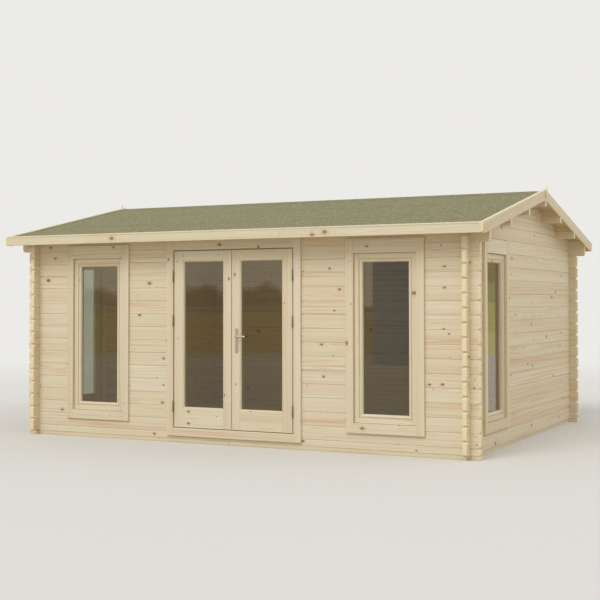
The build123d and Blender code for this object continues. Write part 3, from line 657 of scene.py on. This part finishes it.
for name, side in (("front", -1), ("back", 1)):
    boards = Timbers()
    fall, normal = down_slope(side)
    width = 2 * barge_back / BOARD_COUNT
    middle = BOARD_DEPTH / 2 - ROOF_DEPTH
    section = eased_section(width - BOARD_GAP, BOARD_DEPTH, 0.0028, 1)
    plumb = -(section[:, 1] + middle) * SLOPE
    for k in range(BOARD_COUNT):
        place = np.array([-barge_back + (k + 0.5) * width, 0, RIDGE]) + normal * middle
        boards.lay(section, plumb, FASCIA_BACK / COS + plumb, place, fall, RIGHT, normal)
    boards.build(f"{name}_roof_lining", BOARD_FINISH, (f"{name}_roof_boards",))


# Felt: three courses of grey-green mineral felt on each slope, each lapping over the one
# below, and a strip folded over the ridge. Fine stone granules cover it.
def mineral_felt():
    """Granules in two sizes, over wider patches of a greener tint."""
    material, start = new_material("mineral_felt")
    x, y, z = start.add("ShaderNodeTexCoord", out="Object").parts()
    grit = start.noise(x * 420, y * 420, z * 420, 1.0)
    speck = start.noise(x * 52, y * 26, z * 26, 4.0, 0.9)
    tint = start.noise(x * 9, y * 5, z * 5, 3.0, 0.7)
    granules = (speck * 0.8 + grit * 0.2).ramp(0.34, 0.66)
    colour = granules.mix(srgb(90, 90, 64), srgb(166, 161, 124))
    colour = (tint.ramp(0.38, 0.62) * 0.22).mix(colour, srgb(124, 131, 99))
    bump = {"Strength": 0.8, "Distance": 0.0012, "Height": grit + speck}
    start.surface("ShaderNodeBsdfPrincipled", {
        "Base Color": colour,
        "Roughness": 0.93,
        "Specular IOR Level": 0.25,
        "Normal": start.add("ShaderNodeBump", inputs=bump),
    })
    return "mineral_felt", material


def carried(section, stations, lift):
    """Grid of points: a closed section of (fall, height) carried along x through the
    stations. lift raises each point at each station; the two ends are closed."""
    n, m = len(section), len(stations)
    fall, height = np.tile(section, (m, 1)).T
    points = np.column_stack([np.repeat(stations, n), fall, height + np.ravel(lift)])
    return points, skin_faces(m, n)


FELT_FINISH = mineral_felt()
FELT_TOP, FELT_FOOT = -0.0026, -0.0039  # from the line of the ridge, square to the slope
LAPS, LAP_STEP = (0.78, 1.56), 0.0012
RIPPLE, RIPPLE_STEP = 0.00035, 6
RIDGE_STRIP, STRIP_OVER, STRIP_UNDER = 0.16, 0.0006, -0.0030
STATIONS = np.linspace(-barge_back, barge_back, 180)
felt = Skins()
for side in (-1, 1):
    edge = FASCIA_BACK / COS
    top = []
    for upper, lower in zip((0.0, *LAPS), (*LAPS, edge)):
        run = np.linspace(upper, lower, 9)
        top += [(at, FELT_TOP + LAP_STEP * (at - upper) / (lower - upper)) for at in run]
    section = np.array([*top, (edge, FELT_FOOT), (0.0, FELT_FOOT)])
    ripple = GRAIN.normal(0, 1, (len(STATIONS) // RIPPLE_STEP + 2, len(section)))
    spots = np.linspace(0, len(ripple) - 1, len(STATIONS))
    smooth = [np.interp(spots, np.arange(len(ripple)), column) for column in ripple.T]
    lift = np.stack(smooth, 1) * RIPPLE * (np.arange(len(section)) < len(top))
    points, faces = carried(section, STATIONS, lift)
    felt.take(points @ np.array([RIGHT, *down_slope(side)]) + [0, 0, RIDGE], faces, side < 0)
reach, drop = RIDGE_STRIP * COS, RIDGE_STRIP * SIN
section = np.array([
    (0.0, STRIP_OVER), (reach, STRIP_OVER - drop), (reach, STRIP_UNDER - drop),
    (0.0, STRIP_UNDER), (-reach, STRIP_UNDER - drop), (-reach, STRIP_OVER - drop),
])
points, faces = carried(section, STATIONS[::4], np.zeros(len(STATIONS[::4]) * len(section)))
felt.take(points + [0, 0, RIDGE], faces)
felt.build("roof_felt", FELT_FINISH, ("front_roof_felt", "back_roof_felt"))


# Fascia, barge boards, edge strips and finials: planed pine that closes the roof's edges.
# The barge boards meet in a mitre at the ridge, behind a pointed lath.
# A slightly darker copy of the planed pine for the fascia and barge boards: painted shade on the
# roof's outer edge.
SHADED_EDGE_FINISH = pine(
    "shaded_edge_pine", (229, 219, 193), (216, 184, 150), (191, 163, 126), 0.08, 0.30, "planed_pine"
)
EDGE = 2.201
FASCIA_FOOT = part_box("front_fascia")[0].z
FASCIA_TOP = float(RIDGE - EDGE * SLOPE)
FASCIA_JOINT, JOINT_HALF = 0.660, 0.0005
FASCIA_KNOTS = (-1.298, 1.149)
BARGE_DEEP, BARGE_THICK = BARGE_HEIGHT * COS, 0.020
STRIP, STRIP_EDGE = 0.013, 2.2016
BARGE_STRIP_WIDE, BARGE_STRIP_OUT = 0.037, 0.0025
EAVES_STRIP_WIDE = 0.036
LATH_WIDTH, LATH_DEPTH, LATH_POINT = 0.026, 0.016, 0.030

fascias = Timbers()
for side, joint in ((-1, FASCIA_JOINT), (1, -FASCIA_JOINT)):
    y_span = (side * FASCIA_BACK, side * EDGE)
    spans = ((-barge_back, joint - JOINT_HALF), (joint + JOINT_HALF, barge_back))
    for x_span, x in zip(spans, FASCIA_KNOTS):
        knot = (x, 0.0, 2.108, 0.016)
        fascias.board(x_span, y_span, (FASCIA_FOOT, FASCIA_TOP), 0, 0.002, knot=knot)
fascias.build("fascia_boards", SHADED_EDGE_FINISH, ("front_fascia", "back_fascia"))

barges, edging = Timbers(), Timbers()
for side in (-1, 1):
    fall, normal = down_slope(side)
    for end in (-1, 1):
        section = eased_section(BARGE_DEEP, BARGE_THICK, 0.002, 1, 8)
        high = section[:, 0] - BARGE_DEEP / 2
        plumb_end = EDGE / COS - high * SLOPE
        level_end = (RIDGE + high * COS - FASCIA_FOOT) / SIN
        stop = np.minimum(plumb_end, level_end)
        middle = np.array([end * (barge_back + BARGE_THICK / 2), 0, RIDGE])
        place = middle - normal * BARGE_DEEP / 2
        barges.lay(section, -high * SLOPE, stop, place, fall, normal, (end, 0, 0), (0.001,) * 3)

        section = eased_section(BARGE_STRIP_WIDE, STRIP, 0.002, 1)
        high = section[:, 1] + STRIP / 2
        stop = STRIP_EDGE / COS - high * SLOPE
        place = np.array([end * (barge_back + BARGE_STRIP_OUT), 0, RIDGE]) + normal * STRIP / 2
        edging.lay(section, -high * SLOPE, stop, place, fall, RIGHT, normal)
    section = eased_section(EAVES_STRIP_WIDE / COS, STRIP, 0.002, 1)
    middle = (STRIP_EDGE - EAVES_STRIP_WIDE / 2) / COS - STRIP * SLOPE
    place = np.array([0, 0, RIDGE]) + fall * middle + normal * STRIP / 2
    reach = barge_back + BARGE_STRIP_OUT - BARGE_STRIP_WIDE / 2 - JOINT_HALF
    edging.lay(section, -reach, reach, place, RIGHT, fall, normal)
barges.build("barge_boards", SHADED_EDGE_FINISH, ("front_barge_boards", "back_barge_boards"))
strip_nodes = ("front_barge_strips", "back_barge_strips", "eaves_strips")
edging.build("edge_strips", BOARD_FINISH, strip_nodes)

laths = Timbers()
low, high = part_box("finials")
for end in (-1, 1):
    section = eased_section(LATH_WIDTH, LATH_DEPTH, 0.0015, 1, 2)
    tip = high.z - np.abs(section[:, 0]) / (LATH_WIDTH / 2) * LATH_POINT
    place = (end * (high.x - LATH_DEPTH / 2), 0, 0)
    laths.lay(section, low.z, tip, place, UP, BACK, RIGHT, (0.0008,) * 3)
laths.build("finial_laths", BOARD_FINISH, ("finials",))


# Floor: planed tongued boards that run from front to back on the joists, with a fine
# joint between each two.
low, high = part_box("floor")
FLOOR_BOARDS, FLOOR_JOINT = 41, 0.0004
floorboards = Timbers()
width = (high.x - low.x) / FLOOR_BOARDS
for k in range(FLOOR_BOARDS):
    x = low.x + k * width
    x_span = (x + FLOOR_JOINT, x + width - FLOOR_JOINT)
    floorboards.board(x_span, (low.y, high.y), (low.z, high.z), 1)
floorboards.build("floor_boards", BOARD_FINISH, ("floor",))


# Windows: fixed frames through the wall with a sash in each, a moulded bead round the
# glass, and flat trims outside and inside. The upright trims run past the level ones.
def pane_glass():
    """Clear glass that mirrors more the flatter it is looked at."""
    material, start = new_material("pane_glass")
    glossy = {"Color": (1, 1, 1, 1), "Roughness": 0.02}
    glossy = start.add("ShaderNodeBsdfGlossy", inputs=glossy)
    clear = start.add("ShaderNodeBsdfTransparent", inputs={"Color": srgb(226, 228, 222)})
    facing = start.add("ShaderNodeLayerWeight", inputs={"Blend": 0.5}, out="Facing")
    share = facing ** 5 * 0.93 + 0.07
    start.surface("ShaderNodeMixShader", {0: share, 1: clear, 2: glossy})
    return material


def mitred_ring(timbers, x_span, z_span, face_y, profile):
    """Four lengths of a moulding around an opening, cut to a mitre: each point of the
    profile starts and stops as far from the corner as it is inset."""
    (x0, x1), (z0, z1) = x_span, z_span
    middle = profile.mean(0)
    inset = profile[:, 0]
    sides = (
        ((x0, 0, z0), RIGHT, UP, x1 - x0), ((x0, 0, z1), RIGHT, (0, 0, -1), x1 - x0),
        ((x0, 0, z0), UP, RIGHT, z1 - z0), ((x1, 0, z0), UP, (-1, 0, 0), z1 - z0),
    )
    for corner, along, across, length in sides:
        place = np.array(corner, float) + np.array(across) * middle[0]
        place[1] += face_y + middle[1]
        stop = length - inset
        timbers.lay(profile - middle, inset, stop, place, along, across, BACK, (0.0, 0.0, 0.0))


def ring_of_boards(timbers, x_span, z_span, width, y_span, ease=0.0015):
    """Two uprights and two level boards between them, inside an opening's edge."""
    (x0, x1), (z0, z1) = x_span, z_span
    for span in ((x0, x0 + width), (x1 - width, x1)):
        timbers.board(span, y_span, z_span, 2, ease)
    for span in ((z1 - width, z1), (z0, z0 + width)):
        timbers.board((x0 + width, x1 - width), y_span, span, 0, ease)


def trims_around(timbers, x_span, z_span, y_span, knot=None):
    """Uprights beside an opening, and level boards over and under it between them. The
    knot is in the upper one."""
    (x0, x1), (z0, z1) = x_span, z_span
    low, high = z0 - TRIM_CROSS, z1 + TRIM_OVER
    for span in ((x0 - TRIM_WIDTH, x0), (x1, x1 + TRIM_WIDTH)):
        timbers.board(span, y_span, (low, high), 2, TRIM_EASE)
    timbers.board(x_span, y_span, (z1, high), 0, TRIM_EASE, knot=knot)
    timbers.board(x_span, y_span, (low, z0), 0, TRIM_EASE)


def narrowed(span, inset):
    """A span that starts and stops so far inside another."""
    return span[0] + inset, span[1] - inset


GLASS_FINISH = pane_glass()
FRAME_WIDTH, FRAME_DEPTH = 0.034, 0.060
SASH_GAP, SASH_WIDTH, SASH_Y = 0.003, 0.086, (0.002, 0.052)
BEAD = 0.036
# Moulding of the bead as (inset from its outer edge, depth behind the timber's face):
# a quirk, a broad round and a fall to the glass.
BEAD_PROFILE = np.array([
    (0.0, 0.0120), (0.0065, 0.0120), (0.0078, 0.0062), (0.0105, 0.0034), (0.0160, 0.0022),
    (0.0225, 0.0030), (0.0280, 0.0056), (0.0320, 0.0100), (0.0345, 0.0160), (0.0360, 0.0230),
    (0.0360, 0.0480), (0.0, 0.0480),
])
TRIM_WIDTH, TRIM_DEPTH, TRIM_INSIDE, TRIM_EASE = 0.0795, 0.025, 0.015, 0.0022
TRIM_LAP, TRIM_CROSS, TRIM_OVER = 0.036, 0.095, 0.138
# Each window's middle, the direction to its right and the one into the room.
WINDOWS = {
    "front_left": ((-FRONT_WINDOW_X, FRONT_FACE, 0), RIGHT, BACK),
    "front_right": ((FRONT_WINDOW_X, FRONT_FACE, 0), RIGHT, BACK),
    "left_side": ((-GABLE_FACE, SIDE_WINDOW_Y, 0), (0, -1, 0), RIGHT),
    "right_side": ((GABLE_FACE, SIDE_WINDOW_Y, 0), BACK, (-1, 0, 0)),
}
HEAD_KNOTS = {"front_left": (0.211, 0.0, 2.026, 0.008), "front_right": (-0.178, 0.0, 1.973, 0.009)}

for node in ("window_panes", "left_leaf_glass", "right_leaf_glass"):
    nodes[node].data.materials.clear()
    nodes[node].data.materials.append(GLASS_FINISH)
trims = Timbers()
for wall, (origin, right, inward) in WINDOWS.items():
    window = Timbers()
    for timbers in (window, trims):
        timbers.turn = np.array([right, inward, UP], float).T
        timbers.origin = np.array(origin, float)
    hole = (-WINDOW_HALF, WINDOW_HALF), (WINDOW_FOOT, WINDOW_HEAD)
    sash = [narrowed(span, FRAME_WIDTH + SASH_GAP) for span in hole]
    bead = [narrowed(span, SASH_WIDTH - BEAD) for span in sash]
    ring_of_boards(window, *hole, FRAME_WIDTH, (0.0, FRAME_DEPTH))
    ring_of_boards(window, *sash, SASH_WIDTH - BEAD, SASH_Y, 0.003)
    mitred_ring(window, *bead, SASH_Y[0], BEAD_PROFILE)
    window.build(f"{wall}_sash", BOARD_FINISH, (f"{wall}_window",))
    lap = [narrowed(span, TRIM_LAP) for span in hole]
    trims_around(trims, *lap, (-TRIM_DEPTH, 0.0), HEAD_KNOTS.get(wall))
    trims_around(trims, *hole, (LOG_DEPTH, LOG_DEPTH + TRIM_INSIDE))
trims.build("window_trims", BOARD_FINISH, ("window_side_trims", "window_cross_trims"))


# Doorway: jambs, head and threshold through the wall with stops behind the leaves, and
# flat trims on both faces.
JAMB_INNER, HOLE_HALF = 0.6945, 0.7245
FRAME_BACK = FRONT_FACE + FRAME_DEPTH
THRESHOLD_TOP, HEAD_FOOT, WALL_TOP = 0.1515, 1.9775, 1.9955
STOP, STOP_Y, LOW_STOP = 0.018, (-1.896, FRAME_BACK), 0.010
TRIM_FOOT, TRIM_HEAD, INNER_TRIM_FOOT = 0.068, 1.981, 0.057
LEFT_KNOT, HEAD_KNOT = (-0.752, 0.0, 1.886, 0.008), (-0.141, 0.0, 2.028, 0.013)

doorway = Timbers()
depth, clear, stops = (FRONT_FACE, FRAME_BACK), JAMB_INNER, JAMB_INNER - STOP
for side in (-1, 1):
    doorway.board((side * clear, side * HOLE_HALF), depth, (HALF_LOG_TOP, WALL_TOP), 2)
    doorway.board((side * clear, side * stops), STOP_Y, (THRESHOLD_TOP, HEAD_FOOT), 2)
doorway.board((-clear, clear), depth, (HEAD_FOOT, WALL_TOP), 0)
doorway.board((-clear, clear), depth, (HALF_LOG_TOP, THRESHOLD_TOP), 0, 0.004, 2)
doorway.board((-stops, stops), STOP_Y, (HEAD_FOOT - STOP, HEAD_FOOT), 0)
doorway.board((-stops, stops), STOP_Y, (THRESHOLD_TOP, THRESHOLD_TOP + LOW_STOP), 0)
doorway.build("door_frame", BOARD_FINISH, ("door_jambs", "door_head", "door_threshold"))

door_trims = Timbers()
outside, inside = (FRONT_FACE - TRIM_DEPTH, FRONT_FACE), (FRONT_FACE + LOG_DEPTH, FRAME_BACK)
outer_head = (TRIM_HEAD, TRIM_HEAD + TRIM_CROSS)
inner_head = (WALL_TOP, WALL_TOP + TRIM_CROSS)
for side, knot in ((-1, LEFT_KNOT), (1, None)):
    x_span = (side * clear, side * (clear + TRIM_WIDTH))
    door_trims.board(x_span, outside, (TRIM_FOOT, outer_head[1]), 2, TRIM_EASE, knot=knot)
    x_span = (side * HOLE_HALF, side * (HOLE_HALF + TRIM_WIDTH))
    door_trims.board(x_span, inside, (INNER_TRIM_FOOT, inner_head[1]), 2, TRIM_EASE)
door_trims.board((-clear, clear), outside, outer_head, 0, TRIM_EASE, knot=HEAD_KNOT)
door_trims.board((-clear, clear), outside, (TRIM_FOOT, THRESHOLD_TOP), 0, TRIM_EASE)
x_span = (-HOLE_HALF, HOLE_HALF)
door_trims.board(x_span, inside, inner_head, 0, TRIM_EASE)
door_trims.board(x_span, inside, (INNER_TRIM_FOOT, HALF_LOG_TOP), 0, TRIM_EASE)
door_trims.build("door_trims", BOARD_FINISH, ("door_side_trims", "door_cross_trims"))


# Door leaves: stiles and rails around one tall pane, with a plain hollow round the glass.
# The bottom rail is made of two boards. A strip in the edge of the right leaf closes most
# of the gap between the two.
LEAF_Y, LEAF_Z = (-1.956, -1.901), (0.1585, 1.9705)
MEETING, DOOR_HALF = 0.0045, 0.6855
HINGE_STILE, MEETING_STILE = 0.121, 0.101
TOP_RAIL, BOTTOM_RAIL, RAIL_JOINT = 0.113, 0.210, 0.106
HINGE_EASE, CLOSING_SHIFT = 0.002, 0.003
STRIP_X, STRIP_Y = np.array([-0.007, 0.002]), np.array([0.005, 0.017])  # from edge and face
RAIL_KNOTS = ((-0.509, 0.0, 0.323, 0.010), (-0.509, 0.0, 0.201, 0.010))
HOLLOW = 0.016
HOLLOW_PROFILE = np.array([
    (0.0, 0.0008), (0.0030, 0.0008), (0.0060, 0.0018), (0.0090, 0.0040), (0.0115, 0.0074),
    (0.0138, 0.0120), (0.0153, 0.0170), (0.0160, 0.0225), (0.0160, 0.0530), (0.0, 0.0530),
])
for name, side in (("left", -1), ("right", 1)):
    leaf = Timbers()
    outer = side * (DOOR_HALF - HINGE_EASE)
    inner = side * MEETING - (side < 0) * CLOSING_SHIFT
    glass_x = sorted((outer - side * HINGE_STILE, inner + side * MEETING_STILE))
    glass_z = (LEAF_Z[0] + BOTTOM_RAIL, LEAF_Z[1] - TOP_RAIL)
    bead_x, bead_z = narrowed(glass_x, -HOLLOW), narrowed(glass_z, -HOLLOW)
    lock_side, hinge_side = bead_x[::side]
    joint = glass_z[0] - RAIL_JOINT
    stile_knot = (side * 0.034, 0.0, 1.70 + side * 0.02, 0.009)
    leaf.board((outer, hinge_side), LEAF_Y, LEAF_Z, 2, 0.003)
    leaf.board((inner, lock_side), LEAF_Y, LEAF_Z, 2, 0.003, knot=stile_knot)
    leaf.board(bead_x, LEAF_Y, (bead_z[1], LEAF_Z[1]), 0, 0.003)
    leaf.board(bead_x, LEAF_Y, (joint, bead_z[0]), 0, 0.002, knot=RAIL_KNOTS[0])
    leaf.board(bead_x, LEAF_Y, (LEAF_Z[0], joint), 0, 0.002, knot=RAIL_KNOTS[1])
    mitred_ring(leaf, bead_x, bead_z, LEAF_Y[0], HOLLOW_PROFILE)
    if side > 0:
        leaf.board(inner + STRIP_X, LEAF_Y[0] + STRIP_Y, LEAF_Z, 2, 0.001)
    leaf.build(f"{name}_door_leaf", BOARD_FINISH, (f"{name}_leaf",), f"{name}_leaf_body")


# Hinges: three on each leaf, turned steel barrels in two halves, each half on a pin that
# is screwed into the wood.
def satin_steel(name, colour, roughness):
    """Steel brushed along z: noise that is much finer in height than across."""
    material, start = new_material(name)
    x, y, z = start.add("ShaderNodeTexCoord", out="Object").parts()
    brushed = start.noise(x * 60, y * 60, z * 900, 2.0)
    start.surface("ShaderNodeBsdfPrincipled", {
        "Base Color": (brushed * 0.25).mix(srgb(*colour), srgb(120, 118, 112)),
        "Metallic": 1.0,
        "Roughness": brushed * 0.12 + roughness,
    })
    return name, material


class Steel(Skins):
    """Turned and drawn skins that make one steel piece."""

    def skin(self, rings):
        """A closed surface: a grid of rings v, closed in u, its first and last ring
        filled in. It is turned so that its faces look away from its middle."""
        points = rings.reshape(-1, 3)
        faces = skin_faces(*rings.shape[:2])
        a, b, _, d = (points - points.mean(0))[np.array(faces[:-2]).T]
        self.take(points, faces, (np.cross(b - a, d - a) * a).sum() < 0)

    def turned(self, profile, centre, axis, count=20):
        """A profile of (radius, height) points turned round the axis through the centre."""
        radius, height = profile.T[:, :, None, None]
        axis = np.array(axis, float)
        across = np.roll(axis, 1)
        angle = (np.arange(count) * 2 * np.pi / count)[:, None]
        spoke = np.cos(angle) * across + np.sin(angle) * np.cross(axis, across)
        self.skin(np.array(centre, float) + height * axis + radius * spoke)

    def build(self, name, finish, replaced, body="cabin"):
        """The finished piece, smooth but for its edges."""
        mesh = super().build(name, finish, replaced, body)
        mesh.polygons.foreach_set("use_smooth", [True] * len(self.faces))
        mesh.set_sharp_from_angle(angle=math.radians(40))


HINGE_FINISH = satin_steel("hinge_steel", (156, 140, 110), 0.48)
HINGE_X, HINGE_Y, TRIM_FACE = 0.690, -1.968, FRONT_FACE - TRIM_DEPTH
HINGE_HEIGHTS = (0.370, 1.250, 1.710)
PIN_OFF, PIN_RISE, PIN_RADIUS = 0.006, 0.030, 0.003
# Barrel of one half, (radius, height) from the joint between the halves.
BARREL = np.array([
    (0.0040, 0.0004), (0.0058, 0.0004), (0.0065, 0.0012), (0.0065, 0.0560), (0.0058, 0.0572),
    (0.0052, 0.0574), (0.0050, 0.0588), (0.0042, 0.0597), (0.0025, 0.0600),
])


def hinge_half(hinge, side, height, rise, face_y):
    """The upper half, rise 1, rides on the leaf, and the lower one, -1, on the trim."""
    hinge.turned(BARREL * [1, rise], (side * HINGE_X, HINGE_Y, height), UP)
    pin = np.array([(PIN_RADIUS, 0.0), (PIN_RADIUS, face_y - HINGE_Y)])
    place = (side * (HINGE_X - rise * PIN_OFF), HINGE_Y, height + rise * PIN_RISE)
    hinge.turned(pin, place, BACK, 12)


fixed = Steel()
for side in (-1, 1):
    for height in HINGE_HEIGHTS:
        hinge_half(fixed, side, height, -1, TRIM_FACE)
fixed.build("hinges_on_trims", HINGE_FINISH, ("frame_hinges",))
for name, side in (("left", -1), ("right", 1)):
    moving = Steel()
    for height in HINGE_HEIGHTS:
        hinge_half(moving, side, height, 1, LEAF_Y[0])
    moving.build(f"{name}_hinges", HINGE_FINISH, (f"{name}_leaf_hinges",), f"{name}_leaf_body")


# Handle: satin steel. A long domed plate on both faces of the right leaf, held by two
# screws, with a lock cylinder below; and two levers on one spindle, each bent from a bar.
HANDLE_FINISH = satin_steel("satin_steel", (196, 191, 182), 0.30)
HANDLE_X, HANDLE_Z = 0.0585, 1.098
PLATE_LENGTH, PLATE_LOW = 0.260, 0.168
SCREW_FROM_MIDDLE, CYLINDER_DROP, COLLAR_OUT = 0.112, 0.072, 0.006
PLATE_PROFILE = np.array([
    (0.0180, 0.0), (0.0180, 0.0014), (0.0174, 0.0024), (0.0155, 0.0035), (0.0120, 0.0044),
    (0.0080, 0.0048), (0.0040, 0.0050), (0.0010, 0.0050),
])
SCREW = np.array([(0.0040, 0.0), (0.0040, 0.0052), (0.0032, 0.0060), (0.0010, 0.0062)])
CYLINDER = np.array([(0.0085, 0.0), (0.0085, 0.0062), (0.0078, 0.0070), (0.0030, 0.0070)])
COLLAR = np.array([
    (0.0125, 0.0), (0.0125, 0.0060), (0.0115, 0.0072), (0.0095, 0.0078), (0.0060, 0.0078),
])
LEVER_OUT, LEVER_BEND, LEVER_END = 0.0365, 0.013, 0.1162
NECK_HALF, GRIP_HIGH, GRIP_DEEP = 0.0090, 0.0088, 0.0055
RIM_POINTS, BAR_POINTS = 48, 20


def stadium(half, height, out):
    """Ring of points with two straight sides and two round ends, raised by a height."""
    angle = (np.arange(RIM_POINTS) + 0.5) * 2 * np.pi / RIM_POINTS
    x = half * np.cos(angle)
    straight = PLATE_LENGTH / 2 - PLATE_PROFILE[0, 0]
    z = half * np.sin(angle) + np.sign(np.sin(angle)) * straight
    return np.column_stack([x, np.full(RIM_POINTS, out * height), z])


def lever_rings(out):
    """Oval rings along the bar: straight out from the collar, round the bend, and along
    to a rounded end. The bar flattens from the bend on."""
    rings = []
    stations = [("neck", t) for t in (0.0, 1.0)] + [("bend", t) for t in np.linspace(0.15, 1, 7)]
    stations += [("grip", t) for t in (0.25, 0.55, 0.8, 0.9, 0.955, 0.985, 0.998, 1.0)]
    theta = np.arange(BAR_POINTS) * 2 * np.pi / BAR_POINTS
    for part, t in stations:
        high, deep, turn = NECK_HALF, NECK_HALF, 0.0
        if part == "neck":
            centre = (0.0, (LEVER_OUT - LEVER_BEND) * t)
        elif part == "bend":
            turn = t * np.pi / 2
            centre = (LEVER_BEND * (1 - np.cos(turn)), LEVER_OUT - LEVER_BEND * (1 - np.sin(turn)))
            deep = NECK_HALF + (GRIP_DEEP - NECK_HALF) * t
        else:
            turn = np.pi / 2
            centre = (LEVER_BEND + (LEVER_END - LEVER_BEND) * t, LEVER_OUT)
            left = (1 - t) * (LEVER_END - LEVER_BEND)
            round_off = math.sqrt(max(1 - max(1 - left / NECK_HALF, 0) ** 2, 0.01))
            high, deep = GRIP_HIGH * round_off, GRIP_DEEP * round_off
        inwards = deep * np.sin(theta)
        x = centre[0] + inwards * np.cos(turn)
        y = centre[1] - inwards * np.sin(turn)
        rings.append(np.column_stack([x, out * y, high * np.cos(theta)]))
    return np.stack(rings)


plates, levers = Steel(), Steel()
for out, face in ((-1, LEAF_Y[0]), (1, LEAF_Y[1])):
    middle = np.array([HANDLE_X, face, HANDLE_Z + PLATE_LENGTH / 2 - PLATE_LOW])
    plates.skin(np.stack([stadium(half, height, out) for half, height in PLATE_PROFILE]) + middle)
    for height in (-SCREW_FROM_MIDDLE, SCREW_FROM_MIDDLE):
        plates.turned(SCREW * [1, out], middle + [0, 0, height], BACK, 16)
    plates.turned(CYLINDER * [1, out], (HANDLE_X, face, HANDLE_Z - CYLINDER_DROP), BACK)
    start = np.array([HANDLE_X, face + out * COLLAR_OUT, HANDLE_Z])
    levers.turned(COLLAR * [1, out], start, BACK, 28)
    levers.skin(lever_rings(out) + start)
plates.build("handle_plates_and_lock", HANDLE_FINISH, ("handle_plates",), "right_leaf_body")
levers.build("levers", HANDLE_FINISH, ("lever_handle",), "lever")
